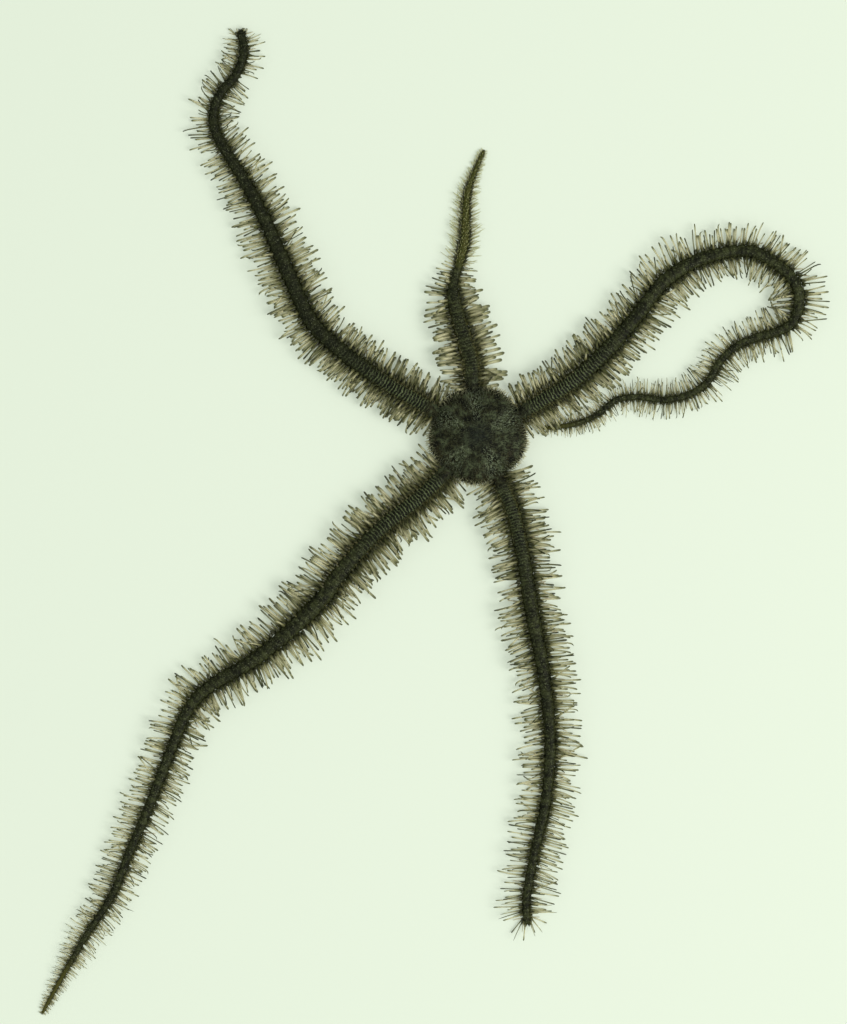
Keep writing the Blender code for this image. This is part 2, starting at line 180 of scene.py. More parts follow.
# %% [markdown]
# ## Where each arm lies
#
# A row of points, seen from above, is enough to say how an arm lies. Each point also has the arm's width
# there and how long its spines are. A Catmull-Rom curve passes through all of its points with no corners,
# so it needs few.

# %% The arms' routes, as (x, y, arm's width, spines' length) in millimetres
ROUTES = {
    "regrown_arm": [
        (0.1, 2.3, 1.5, 2.6), (-0.6, 5.4, 2.3, 2.8), (-0.7, 7.7, 2.5, 2.9), (-1.4, 10.2, 2.3, 2.8),
        (-2.1, 12.7, 2.1, 2.9), (-2.6, 15.0, 1.8, 2.7), (-2.4, 16.6, 1.2, 1.8), (-1.9, 18.6, 1.1, 1.7),
        (-1.4, 20.6, 1.1, 1.6), (-1.3, 23.0, 1.0, 1.4), (-1.1, 25.7, 0.8, 1.1), (-0.3, 28.1, 0.6, 0.7),
        (0.8, 30.6, 0.4, 0.3)],
    "looped_arm": [
        (2.1, 0.95, 1.5, 2.7), (5.4, 2.9, 2.3, 2.8), (9.9, 5.6, 2.3, 2.9), (13.7, 9.0, 2.2, 2.9),
        (17.0, 12.8, 2.0, 2.7), (20.1, 16.6, 1.9, 2.8), (24.5, 19.0, 1.7, 2.6), (29.3, 19.5, 1.6, 2.5),
        (33.2, 17.0, 1.6, 2.6), (34.2, 14.6, 1.6, 2.6), (33.6, 12.2, 1.4, 2.6), (32.0, 11.1, 1.2, 2.5),
        (29.6, 10.4, 1.1, 2.2), (27.4, 9.4, 1.0, 2.1), (25.7, 7.7, 1.0, 2.1), (24.4, 5.6, 1.0, 2.0),
        (22.3, 4.3, 0.9, 1.9), (19.8, 3.8, 0.85, 1.9), (17.2, 4.1, 0.85, 1.8), (14.8, 3.8, 0.8, 1.6),
        (12.7, 2.2, 0.75, 1.4), (10.5, 1.3, 0.7, 1.1), (8.3, 0.9, 0.6, 0.8), (6.4, 0.8, 0.5, 0.5)],
    "straight_arm": [
        (1.15, -2.0, 1.5, 3.0), (2.5, -5.2, 2.2, 3.2), (3.9, -8.7, 2.1, 3.4), (5.0, -13.9, 2.0, 3.2),
        (5.8, -18.9, 1.95, 3.1), (6.8, -24.0, 1.8, 3.0), (7.5, -29.0, 1.65, 2.9), (7.7, -34.1, 1.55, 2.9),
        (7.2, -39.2, 1.4, 2.8), (6.1, -44.2, 1.25, 2.8), (5.2, -49.3, 1.1, 2.8), (5.3, -52.1, 1.0, 2.6)],
    "long_arm": [
        (-1.5, -1.75, 1.5, 3.0), (-4.1, -4.6, 2.4, 3.2), (-6.2, -6.6, 2.4, 3.3), (-10.2, -9.8, 2.4, 3.3),
        (-13.6, -13.4, 2.3, 3.3), (-16.6, -17.4, 2.2, 3.2), (-20.1, -20.9, 2.1, 3.2),
        (-24.0, -24.0, 1.9, 2.8), (-28.2, -26.5, 1.7, 2.7), (-30.1, -28.2, 1.6, 2.8),
        (-31.4, -30.4, 1.5, 2.7), (-33.2, -35.0, 1.4, 2.6), (-35.0, -39.6, 1.3, 2.5),
        (-37.0, -44.3, 1.15, 2.4), (-38.9, -48.9, 1.0, 2.2), (-41.6, -53.1, 0.85, 1.9),
        (-44.1, -57.4, 0.6, 1.15), (-46.5, -61.8, 0.35, 0.25)],
    "hooked_arm": [
        (-2.1, 1.0, 1.5, 2.7), (-5.5, 3.1, 2.3, 2.8), (-9.8, 5.6, 2.2, 2.8), (-13.9, 8.5, 2.1, 2.8),
        (-17.6, 12.0, 2.05, 2.9), (-19.8, 16.5, 2.0, 2.9), (-22.8, 23.3, 1.8, 2.7), (-25.1, 27.6, 1.6, 2.6),
        (-27.6, 31.7, 1.35, 2.4), (-28.1, 34.2, 1.3, 2.4), (-27.3, 36.5, 1.2, 2.2), (-25.7, 38.4, 1.2, 2.0),
        (-24.9, 40.8, 1.15, 1.8), (-25.3, 43.4, 1.05, 1.6)],
}


# %% A smooth route through an arm's points
class Route:
    """An arm's course. s is the distance along it, from the disc to the tip."""

    def __init__(self, points, steps=12):
        knots = np.array(points) * MM
        ends = np.vstack([2 * knots[0] - knots[1], knots, 2 * knots[-1] - knots[-2]])
        t = (np.arange(steps) / steps)[:, None]
        spans = [0.5 * (2 * b + (c - a) * t + (2 * a - 5 * b + 4 * c - d) * t ** 2
                        + (3 * b - 3 * c + d - a) * t ** 3)
                 for a, b, c, d in zip(ends, ends[1:], ends[2:], ends[3:])]
        self.line = np.vstack(spans + [knots[-1:]])
        steps_taken = np.linalg.norm(np.diff(self.line[:, :2], axis=0), axis=1)
        self.s = np.concatenate([[0.0], np.cumsum(steps_taken)])
        self.length = self.s[-1]

    def at(self, s):
        """x, y, width and spine length at s."""
        return np.array([np.interp(s, self.s, column) for column in self.line.T]).T

    def along(self, s):
        """The level unit vector in which the arm runs at s."""
        reach = 0.4 * MM
        ahead = self.at(np.minimum(s + reach, self.length))[..., :2]
        step = ahead - self.at(np.maximum(s - reach, 0))[..., :2]
        return step / np.linalg.norm(step, axis=-1, keepdims=True)


routes = {name: Route(points) for name, points in ROUTES.items()}
for name, route in routes.items():
    print(name, "is", round(route.length / MM, 1), "mm long")

# %% [markdown]
# ## Arms made of plates
#
# A brittle star's arm is a chain of small bones. Each one is wrapped in four plates: one above, one below
# and one on each side, where the spines sit. The plates overlap like roof tiles, so every plate rises
# towards the arm's tip and ends in a step. Near the disc they are short and wide, 0.5 mm long. Further out
# they are up to 0.85 mm long, and where the arm is thin, or young, they are small again. Two of the arms
# end where they broke, and end bluntly.

# %% How long the plates are
WIDEST = 2.4 * MM
YOUNG_FROM = 16.2 * MM  # along the regrown arm
PLATE_RINGS = (0.0, 0.08, 0.30, 0.56, 0.80, 0.92, 0.98)  # a plate's rings of points, as shares of its length
BLUNT = {"straight_arm", "hooked_arm"}  # arms that end where they broke
BLUNT_END, THIN_END = 0.6 * MM, 0.5 * MM  # how far from its end an arm starts to round off
NEAR_PLATE, FAR_GAIN = 0.50, 0.35  # a plate's length in mm beside the disc, and what it gains further out
GAIN_FROM, GAIN_TO = 6, 32  # in mm along the arm
THIN_ARM = 1.25 * MM  # below this width the plates get shorter
LAST_PLATE = 0.4 * MM  # no plate begins nearer than this to the end of the route
YOUNG_PLATE = 0.6  # a young plate's length, as a share of an old one's
END_GAP = {"straight_arm": 0.02 * MM}  # from an arm's end to the end of its route, where it isn't 0.2 mm


def smooth_step(low, high, value):
    t = np.clip((value - low) / (high - low), 0, 1)
    return t * t * (3 - 2 * t)


def plate_length(s, width):
    """Short beside the disc, longer further out, and short again where the arm is thin."""
    length = (NEAR_PLATE + FAR_GAIN * smooth_step(GAIN_FROM, GAIN_TO, s / MM)) * MM
    return length * np.minimum(1, width / THIN_ARM) ** 0.8


def plate_starts(name):
    """Distances along the arm at which its plates begin, and the arm's end."""
    route, starts = routes[name], [0.0]
    while starts[-1] < route.length - LAST_PLATE:
        young = YOUNG_PLATE if name == "regrown_arm" and starts[-1] > YOUNG_FROM else 1.0
        starts.append(starts[-1] + plate_length(starts[-1], route.at(starts[-1])[2]) * young)
    return np.array(starts[:-1] + [route.length - END_GAP.get(name, 0.2 * MM)])


plates = {name: plate_starts(name) for name in routes}


def rounding(name, s):
    """The share of its width that an arm has at s: 1 along it, and less and less at its round end."""
    from_end = (plates[name][-1] - s) / (BLUNT_END if name in BLUNT else THIN_END)
    return np.sqrt(1 - np.clip(1 - from_end, 0, 0.97) ** 2)


print("plates along the arms:", {name: len(starts) - 1 for name, starts in plates.items()})


# %% [markdown]
# The chain of rings starts as a row of points along the route. Each point carries two numbers: the arm's
# half-width and a running count of plates, 3.8 being near the end of the fourth plate. Geometry Nodes can
# then wrap an outline round the row and raise the plates by that count, so one rule makes every plate of
# all five arms.

# %% Rows of points for the arms
NUMBER_KINDS = {1: ("FLOAT", "value"), 3: ("FLOAT_VECTOR", "vector"), 4: ("QUATERNION", "value")}


def put_numbers(mesh, numbers):
    """Writes {name: values} on a mesh's points. A value is a number, a vector of three or a turn of four."""
    for label, values in numbers.items():
        values = np.asarray(values)
        if values.dtype.kind == "i":
            mesh.attributes.new(label, "INT", "POINT").data.foreach_set("value", values)
        else:
            kind, field = NUMBER_KINDS[values.size // len(values)]
            flat = values.astype(np.float32).ravel()
            mesh.attributes.new(label, kind, "POINT").data.foreach_set(field, flat)


def points_object(name, points, edges=(), **numbers):
    """A mesh of points, joined by edges or loose, each with its own numbers."""
    mesh = bpy.data.meshes.new(name)
    mesh.from_pydata([tuple(p) for p in points], [tuple(e) for e in edges], [])
    put_numbers(mesh, numbers)
    made = bpy.data.objects.new(name, mesh)
    workshop.objects.link(made)
    return made


def arm_row(name):
    """The middle points of an arm's rings, from inside the disc to a rounded end."""
    route, starts = routes[name], plates[name]
    s = np.concatenate([a + (b - a) * np.array(PLATE_RINGS) for a, b in zip(starts, starts[1:])])
    count = np.concatenate([k + np.array(PLATE_RINGS) for k in range(len(starts) - 1)])
    at = route.at(s)
    half = 0.5 * at[:, 2] * rounding(name, s)
    points = np.stack([at[:, 0], at[:, 1], np.zeros(len(s))], axis=1)
    edges = [(i, i + 1) for i in range(len(s) - 1)]
    return points_object(name + "_row", points, edges, half=half, plates=count)


# %% The arm's outline
ARM_HEIGHT = 1.64  # of the half-width
SKIN_DEPTH = 0.90  # the outline is this share of the full size, so that raised plates still fit
# The right half of the outline from the middle of the underside to the middle of the top, as shares of the
# half-width and of the height: flat below, widest just under mid-height, with a low round back.
OUTLINE = ((0.0, 0.045), (0.22, 0.03), (0.44, 0.02), (0.60, 0.08), (0.78, 0.20), (0.92, 0.34), (0.985, 0.47),
           (0.95, 0.60), (0.86, 0.71), (0.70, 0.81), (0.50, 0.89), (0.26, 0.95), (0.0, 0.97))


def outline_object():
    """The whole outline. round runs from 0 below to 1 above, on both sides."""
    right = [(x, y, k / (len(OUTLINE) - 1)) for k, (x, y) in enumerate(OUTLINE)]
    ring = right + [(-x, y, turn) for x, y, turn in right[-2:0:-1]]
    points = [(x * SKIN_DEPTH, -y * ARM_HEIGHT * SKIN_DEPTH, 0.0) for x, y, turn in ring]
    edges = [(i, (i + 1) % len(ring)) for i in range(len(ring))]
    return points_object("arm_outline", points, edges, round=[turn for x, y, turn in ring])


outline = outline_object()


# %% [markdown]
# Curve to Mesh sweeps the outline along the row. Two Float Curve nodes then shape the plates: one says how
# a plate rises along its length, the other how much of that rise there is around the arm. The rise is full
# on the side plates, less on the back and almost nothing below, with furrows where the plates meet. On a
# thin arm the plates stand out further for its size, so a Map Range node adds to the rise there.

# %% The tree that makes an arm
PLATE_ALONG = ((0.0, 0.0), (0.10, 0.30), (0.45, 0.62), (0.80, 1.0), (1.0, 0.80))
PLATE_AROUND = ((0.0, 0.20), (0.16, 0.24), (0.25, 0.05), (0.38, 0.65), (0.55, 1.0), (0.68, 0.60),
                (0.78, 0.10), (0.90, 0.22), (1.0, 0.24))


def arm_tree():
    tree, given, out = new_tree("plated arm", {"Outline": "NodeSocketObject",
                                               "Plate rise": "NodeSocketFloat"})
    half, count, turn = (node(tree, "GeometryNodeInputNamedAttribute", {"data_type": "FLOAT"}, Name=name)
                         for name in ("half", "plates", "round"))
    row = node(tree, "GeometryNodeMeshToCurve", Mesh=given["Geometry"])
    row = node(tree, "GeometryNodeSetCurveNormal", {"mode": "Z_UP"}, Curve=row)
    shape = node(tree, "GeometryNodeObjectInfo", Object=given["Outline"])
    shape = node(tree, "GeometryNodeMeshToCurve", Mesh=shape.outputs["Geometry"])
    tube = node(tree, "GeometryNodeCurveToMesh", Curve=row, Profile_Curve=shape, Scale=half, Fill_Caps=True)
    rise = node(tree, "ShaderNodeMath", {"operation": "MULTIPLY"}, in_0=half, in_1=given["Plate rise"])
    knobbly = node(tree, "ShaderNodeMapRange", Value=half, From_Min=0.25 * MM, From_Max=0.65 * MM,
                   To_Min=2.6, To_Max=1.1)
    rise = node(tree, "ShaderNodeMath", {"operation": "MULTIPLY"}, in_0=rise, in_1=knobbly)
    in_plate = node(tree, "ShaderNodeMath", {"operation": "FRACT"}, in_0=count)
    for profile, place in ((PLATE_ALONG, in_plate), (PLATE_AROUND, turn)):
        share = node(tree, "ShaderNodeFloatCurve", Value=place)
        curve = share.mapping.curves[0]
        for number, point in enumerate(profile):
            if number < 2:
                curve.points[number].location = point
            else:
                curve.points.new(*point)
        share.mapping.update()
        rise = node(tree, "ShaderNodeMath", {"operation": "MULTIPLY"}, in_0=rise, in_1=share)
    # No two plates stand out equally far.
    place = node(tree, "ShaderNodeMath", {"operation": "MULTIPLY"}, in_0=node(
        tree, "ShaderNodeMath", {"operation": "FLOOR"}, in_0=count), in_1=7.31)
    uneven = node(tree, "ShaderNodeTexNoise", {"noise_dimensions": "4D"}, W=place, Scale=900.0, Detail=0.0,
                  Vector=node(tree, "GeometryNodeInputPosition"))
    uneven = node(tree, "ShaderNodeMapRange", Value=uneven, From_Min=0.3, From_Max=0.7, To_Min=0.35,
                  To_Max=1.25)
    rise = node(tree, "ShaderNodeMath", {"operation": "MULTIPLY"}, in_0=rise, in_1=uneven)
    lift = node(tree, "ShaderNodeVectorMath", {"operation": "SCALE"}, Scale=rise,
                Vector=node(tree, "GeometryNodeInputNormal"))
    raised = node(tree, "GeometryNodeSetPosition", Geometry=tube, Offset=lift)
    tree.links.new(raised.outputs[0], out.inputs[0])
    return tree


def volume_of(mesh):
    """The volume inside a closed mesh, in cubic mm. It is negative where the faces point inwards."""
    bm = bmesh.new()
    bm.from_mesh(mesh)
    volume = bm.calc_volume(signed=True) / MM ** 3
    bm.free()
    return round(volume, 1)


plated_arm = arm_tree()
arms = [grown(name, arm_row(name), plated_arm, Outline=outline, Plate_rise=0.15) for name in routes]
for arm in arms:
    if volume_of(arm.data) < 0:
        arm.data.flip_normals()
    print(arm.name, "holds", volume_of(arm.data), "cubic mm")

# %% [markdown]
# ## The disc
#
# The disc has five lobes, one between each two arms, with a notch where an arm leaves. Its skin is covered
# with scales, 0.4 mm or more across. A pair of longer plates, the radial shields, flanks the base of each
# arm. Underneath is the mouth, a round hollow. A grid of points in rings and columns, like the lines on a
# globe, follows this shape.

# %% The disc's outline
WAIST = 4.70 * MM  # the disc's radius where an arm leaves
LOBE = 5.25 * MM  # and half-way between two arms


def leaving_angles():
    """The direction of each arm where it leaves the disc, in order round the disc."""
    found = []
    for route in routes.values():
        rim = np.argmax(np.hypot(route.line[:, 0], route.line[:, 1]) > WAIST)
        found.append(math.atan2(route.line[rim, 1], route.line[rim, 0]) % math.tau)
    return np.array(sorted(found))


arm_angles = leaving_angles()
lobe_angles = arm_angles + 0.5 * (np.diff(np.append(arm_angles, arm_angles[0] + math.tau)))


def place_between(angles):
    """0 at one arm and 1 at the next, for directions from the middle of the disc."""
    edges = np.concatenate([arm_angles, arm_angles[:1] + math.tau])
    turned = (np.asarray(angles) - arm_angles[0]) % math.tau + arm_angles[0]
    sector = np.clip(np.searchsorted(edges, turned, side="right") - 1, 0, 4)
    return (turned - edges[sector]) / (edges[sector + 1] - edges[sector])


def rim_radius(angles):
    return WAIST + (LOBE - WAIST) * np.sin(np.pi * place_between(angles)) ** 0.8


print("the arms leave at", np.round(np.degrees(arm_angles)), "degrees")

# %% The disc as a grid
DISC_COLUMNS = 190
DISC_ROWS = 100
ARM_SLOPE = 0.24  # how much lower the back is over an arm, as a share of its height
# From the middle of the mouth, out along the underside, up round the rim and in to the middle of the top.
# Each point is (share of the rim's radius, height in mm).
DISC_PROFILE = ((0.0, 1.30), (0.20, 1.28), (0.36, 1.10), (0.44, 0.72), (0.475, 0.36), (0.53, 0.28),
                (0.68, 0.27), (0.82, 0.28), (0.92, 0.55), (0.98, 1.10), (0.985, 1.60), (0.95, 2.08),
                (0.88, 2.42), (0.74, 2.66), (0.50, 2.83), (0.25, 2.92), (0.0, 2.94))


def disc_grid():
    profile = np.array(DISC_PROFILE) * (1, MM)
    steps = np.linalg.norm(np.diff(profile * (5 * MM, 1), axis=0), axis=1)
    walked = np.concatenate([[0], np.cumsum(steps)])
    stops = np.linspace(0, walked[-1], DISC_ROWS + 1)[1:-1]
    soft = np.array([0.25, 0.5, 0.25])
    out, up = (np.interp(stops, walked, column) for column in profile.T)
    for _ in range(4):
        out[1:-1], up[1:-1] = np.convolve(out, soft, "valid"), np.convolve(up, soft, "valid")
    angles = np.arange(DISC_COLUMNS) * math.tau / DISC_COLUMNS
    lobed = smooth_step(0.45, 0.85, out)[:, None]
    radius = out[:, None] * (lobed * rim_radius(angles) + (1 - lobed) * WAIST)
    # Over an arm the back slopes down to meet it, so that the two run into one another.
    over_arm = smooth_step(0.34, 0.06, 0.5 - np.abs(place_between(angles) - 0.5))
    slope = 1 - ARM_SLOPE * over_arm * (smooth_step(0.45, 0.95, out) * (up > 1.4 * MM))[:, None]
    grid = np.stack([radius * np.cos(angles), radius * np.sin(angles), up[:, None] * slope], 2)
    return grid.reshape(-1, 3), profile[0, 1], profile[-1, 1]


def disc_mesh(grid, floor, top):
    """Quads between the rings, closed by a fan at the mouth and one at the middle of the back."""
    count = len(grid) // DISC_COLUMNS
    points = np.vstack([grid, [[0, 0, floor], [0, 0, top]]])
    faces = []
    for row in range(count - 1):
        for i in range(DISC_COLUMNS):
            j = (i + 1) % DISC_COLUMNS
            near, far = row * DISC_COLUMNS, (row + 1) * DISC_COLUMNS
            faces.append((far + j, far + i, near + i, near + j))
    last = (count - 1) * DISC_COLUMNS
    for i in range(DISC_COLUMNS):
        j = (i + 1) % DISC_COLUMNS
        faces += [(j, i, len(grid)), (last + i, last + j, len(grid) + 1)]
    mesh = bpy.data.meshes.new("disc")
    mesh.from_pydata(points.tolist(), [], faces)
    return mesh


grid, floor_height, top_height = disc_grid()
disc_shape = disc_mesh(grid, floor_height, top_height)
if volume_of(disc_shape) < 0:
    disc_shape.flip_normals()
print("the disc holds", volume_of(disc_shape), "cubic mm")

# %% [markdown]
# The scales are laid out as frost or cracked mud is: spots are scattered with a least distance between
# them, and each point of the skin belongs to its nearest spot. Half-way between two spots is the furrow
# between two scales. Every scale is a little higher or lower than its neighbours, which keeps the back from
# looking stamped.

# %% Scales and shields on the disc
SCALE_ACROSS = 0.40 * MM
SCALE_RISE = 0.034 * MM
SHIELD = (0.95 * MM, 0.42 * MM, 0.11 * MM)  # half the length, half the width, rise
SHIELD_PLACE = (0.70, 0.185)  # share of the rim's radius, and of the way from the arm to the next
# A slit's middle, outwards and aside of the arm, half its length and half its width.
SLIT = (3.55 * MM, 1.42 * MM, 0.75 * MM, 0.16 * MM)
SLIT_DEPTH = 0.14 * MM
SCALE_UNEVEN = 0.4  # how much higher or lower a scale may be, as a share of its rise
FURROW = 0.09 * MM  # from the furrow between two scales to their full height
MOUTH_RADIUS, MOUTH_TOP = 2.3 * MM, 1.6 * MM  # the hollow that has no scales
rng = random.Random(11)


def scattered(points, apart):
    """Some of the points, at least so far apart, taken in a random but fixed order."""
    order = list(range(len(points)))
    rng.shuffle(order)
    kept = np.empty((0, 3))
    for number in order:
        if not len(kept) or ((kept - points[number]) ** 2).sum(axis=1).min() > apart ** 2:
            kept = np.vstack([kept, points[number]])
    return kept


def shield_share(points):
    """1 on a radial shield, 0 off it, with a short slope between."""
    share = np.zeros(len(points))
    edges = np.append(arm_angles, arm_angles[0] + math.tau)
    for k in range(5):
        width = edges[k + 1] - edges[k]
        for angle in (edges[k] + SHIELD_PLACE[1] * width, edges[k + 1] - SHIELD_PLACE[1] * width):
            out = np.array([math.cos(angle), math.sin(angle)])
            middle = out * rim_radius(angle) * SHIELD_PLACE[0]
            along = (points[:, :2] - middle) @ out
            across = (points[:, :2] - middle) @ np.array([-out[1], out[0]])
            width_here = SHIELD[1] * (1 + 0.35 * along / SHIELD[0])
            from_middle = np.hypot(along / SHIELD[0], across / width_here)
            share = np.maximum(share, 1 - smooth_step(0.8, 1.1, from_middle))
    return share * (points[:, 2] > 1.5 * MM)


def slit_share(points):
    """1 in the slits under the disc, on both sides of each arm, where the animal breathes and spawns."""
    share = np.zeros(len(points))
    for angle in arm_angles:
        out = np.array([math.cos(angle), math.sin(angle)])
        along = points[:, :2] @ out - SLIT[0]
        across = np.abs(points[:, :2] @ np.array([-out[1], out[0]])) - SLIT[1]
        share = np.maximum(share, 1 - smooth_step(0.5, 1.2, np.hypot(along / SLIT[2], across / SLIT[3])))
    return share * (points[:, 2] < 0.6 * MM)


def mesh_arrays(mesh):
    """The mesh's points, and the way that its surface faces at each."""
    points, ways = (np.empty(len(mesh.vertices) * 3, np.float32) for _ in range(2))
    mesh.vertices.foreach_get("co", points)
    mesh.vertex_normals.foreach_get("vector", ways)
    return points.reshape(-1, 3).astype(float), ways.reshape(-1, 3).astype(float)


def scaled(mesh):
    """Raises the scales and the shields out of the disc's smooth skin."""
    points, ways = mesh_arrays(mesh)
    spots = scattered(points, SCALE_ACROSS)
    nearest = KDTree(len(spots))
    for number, spot in enumerate(spots):
        nearest.insert(spot, number)
    nearest.balance()
    heights = np.array([rng.uniform(-SCALE_UNEVEN, SCALE_UNEVEN) for _ in spots])
    rise = np.empty(len(points))
    for number, point in enumerate(points):
        (_, first, near), (_, _, far) = nearest.find_n(point, 2)
        rise[number] = (1 + heights[first]) * smooth_step(0.0, FURROW, 0.5 * (far - near))
    shield = shield_share(points)
    in_mouth = (np.hypot(points[:, 0], points[:, 1]) < MOUTH_RADIUS) & (points[:, 2] < MOUTH_TOP)
    rise = SCALE_RISE * rise * (1 - 0.8 * shield) * ~in_mouth + SHIELD[2] * shield
    rise = rise - SLIT_DEPTH * slit_share(points)
    mesh.vertices.foreach_set("co", (points + ways * rise[:, None]).astype(np.float32).ravel())
    mesh.update()
    return len(spots)


print("scales on the disc:", scaled(disc_shape))
disc = bpy.data.objects.new("disc", disc_shape)
workshop.objects.link(disc)

# %% [markdown]
# ## One skin
#
# The arms run on under the disc as far as the mouth, so six closed shapes overlap there. A Boolean union
# makes one closed skin of them and throws away all that is inside. The Manifold solver can do this, because
# every shape is closed and none crosses itself. Its points are left as they come. Merging those that lie in
# one place would tie four faces to one edge wherever the skin touches itself.

# %% Join the disc and the arms
def joined(name, first, others):
    group = bpy.data.collections.new(name + "_parts")
    bpy.context.scene.collection.children.link(group)
    for other in others:
        group.objects.link(other)
    step = first.modifiers.new("union", "BOOLEAN")
    step.operation, step.solver, step.operand_type = "UNION", "MANIFOLD", "COLLECTION"
    step.collection = group
    bpy.context.view_layer.update()
    whole = bpy.data.meshes.new_from_object(first.evaluated_get(bpy.context.evaluated_depsgraph_get()))
    for part in [first, *others]:
        bpy.data.objects.remove(part)
    bpy.data.collections.remove(group)
    return in_scene(name, whole)


skin = joined("skin", disc, arms)
bm = bmesh.new()
bm.from_mesh(skin.data)
print("edges of the skin that aren't shared by two faces:", sum(len(e.link_faces) != 2 for e in bm.edges))
bm.free()
skin.data.shade_smooth()
print("skin:", triangles(skin.data), "triangles,", volume_of(skin.data), "cubic mm")

# %% [markdown]
# ## Where the colours go
#
# The pigment follows the animal's own parts, so the skin gets a few numbers at each point: how far along
# the arm it is in plates, how far across, whether it is on the disc, on the young tip that is growing back,
# or underneath, and where an arm is mossy, dusky or slim. The same rule later gives each spine the numbers
# of the place where it is rooted, so coat and skin share one pattern.

# %% Numbers that the colours follow
track_s = {name: np.arange(0, route.length, 0.1 * MM) for name, route in routes.items()}
track = {
    "owner": np.concatenate([np.full(len(s), k) for k, s in enumerate(track_s.values())]),
    "s": np.concatenate(list(track_s.values())),
    "at": np.vstack([routes[name].at(s)[:, :3] for name, s in track_s.items()]),
    "way": np.vstack([routes[name].along(s) for name, s in track_s.items()]),
    "plate": np.concatenate([np.interp(s, plates[name], np.arange(len(plates[name])))
                             for name, s in track_s.items()]),
}
track_tree = KDTree(len(track["s"]))
for number, (x, y, _) in enumerate(track["at"]):
    track_tree.insert((x, y, 0.0), number)
track_tree.balance()


def nearest_track(points):
    return np.array([track_tree.find((x, y, 0.0))[1] for x, y, _ in points])


UNDER_ARM = 0.22 * MM  # below this height an arm that runs on under the disc keeps its own colour
ARCHED = np.array([0.3, 1, 0.45, 1, 0.9])  # how plainly each arm shows its arcs, in the order of the routes


def markings(points):
    """For points on or near the body, the numbers that say where on the animal they are."""
    near = nearest_track(points)
    offset = points[:, :2] - track["at"][near, :2]
    way, width = track["way"][near], track["at"][near, 2]
    s, plate, owner = track["s"][near], track["plate"][near], track["owner"][near]
    is_on = {name: owner == number for number, name in enumerate(routes)}
    ahead = np.einsum("ij,ij->i", offset, way)
    aside = offset[:, 1] * way[:, 0] - offset[:, 0] * way[:, 1]
    radius, angles = np.hypot(points[:, 0], points[:, 1]), np.arctan2(points[:, 1], points[:, 0])
    is_arm_below = (points[:, 2] < UNDER_ARM) & (np.abs(aside) < 0.5 * width)
    from_arm = 0.5 - np.abs(place_between(angles) - 0.5)
    fading = np.where(from_arm < 0.2, 2.4 * MM, 0.22 * MM)  # the disc's colour runs on along the arms
    outwards = radius / rim_radius(angles)
    return {
        "plates": plate + ahead / plate_length(s, width),
        "across": 2 * aside / width,
        "on_disc": (1 - smooth_step(0, fading, radius - rim_radius(angles))) * ~is_arm_below,
        "outwards": outwards,
        "ray": (smooth_step(0.32, 0.06, from_arm) * smooth_step(0.15, 0.5, outwards)
                * smooth_step(1.1, 0.7, outwards)),
        "rim": smooth_step(0.84, 0.98, outwards) * smooth_step(0.10, 0.34, from_arm),
        "shield": shield_share(points),
        "slit": slit_share(points),
        "young": smooth_step(-1.2 * MM, 1.2 * MM, s + ahead - YOUNG_FROM) * is_on["regrown_arm"],
        "arched": smooth_step(38, 14, plate) * ARCHED[owner],
        "dusky": smooth_step(6 * MM, 14 * MM, s) * is_on["hooked_arm"],
        "slim": smooth_step(0.80 * MM, 0.52 * MM, width) * (is_on["looped_arm"] | is_on["long_arm"]),
        "mossy": smooth_step(16 * MM, 5 * MM, s) * smooth_step(0.30, 0.70, np.abs(2 * aside / width)),
    }


SIDE = 2.4 * MM  # the disc's side, peeled flat
PEELED = 2 * LOBE + SIDE  # from the middle of the back over the rim to the middle of the underside


def disc_unwrap(points, ways):
    """The disc peeled flat, with the middle of the back in the centre and the underside outermost."""
    radius, angles = np.hypot(points[:, 0], points[:, 1]), np.arctan2(points[:, 1], points[:, 0])
    peeled = np.where(ways[:, 2] > 0.2, radius, LOBE + SIDE - points[:, 2])
    peeled = np.where(ways[:, 2] < -0.5, PEELED - radius, peeled) / PEELED
    return np.stack([0.5 + 0.48 * peeled * np.cos(angles), 0.5 + 0.48 * peeled * np.sin(angles),
                     0 * angles], 1)


skin_points, skin_ways = mesh_arrays(skin.data)
numbers = markings(skin_points)
skin_heights = skin_points[:, 2]
numbers["below"] = smooth_step(0.1, 0.7, -skin_ways[:, 2]) * smooth_step(2.2 * MM, 0.9 * MM, skin_heights)
numbers["mossy"] *= 1 - numbers["on_disc"]
numbers["fuzz"] = (1 - numbers["below"]) * np.maximum(
    numbers["on_disc"] * smooth_step(0.35 * MM, 0.8 * MM, skin_heights),
    np.maximum(0.8 * numbers["mossy"], numbers["young"]) * smooth_step(0.1 * MM, 0.3 * MM, skin_heights))
for label in list(skin.data.attributes.keys()):
    if label in ("half", "round", "plates"):
        skin.data.attributes.remove(skin.data.attributes[label])
put_numbers(skin.data, numbers)
put_numbers(skin.data, {"place": disc_unwrap(skin_points, skin_ways)})
print("share of the skin's points on the disc:", round(float(numbers["on_disc"].mean()), 2))

# %% [markdown]
# ## Skin and its finish
#
# The real thing is living skin: olive-black pigment cells in a thin wet layer over plates of calcite, which
# is white. Where the layer is thin, on the arms' sides and below, the plate shines through and the colour
# turns paler. It is neither glossy nor dull, with an IOR near 1.4 like all tissue, so its roughness is set
# around 0.5.
#
# The pattern is painted in layers, each one a colour with one or more masks. Noise is measured in
# millimetres: a Scale of 1 / (0.35 * MM) makes blotches of about 0.35 mm.

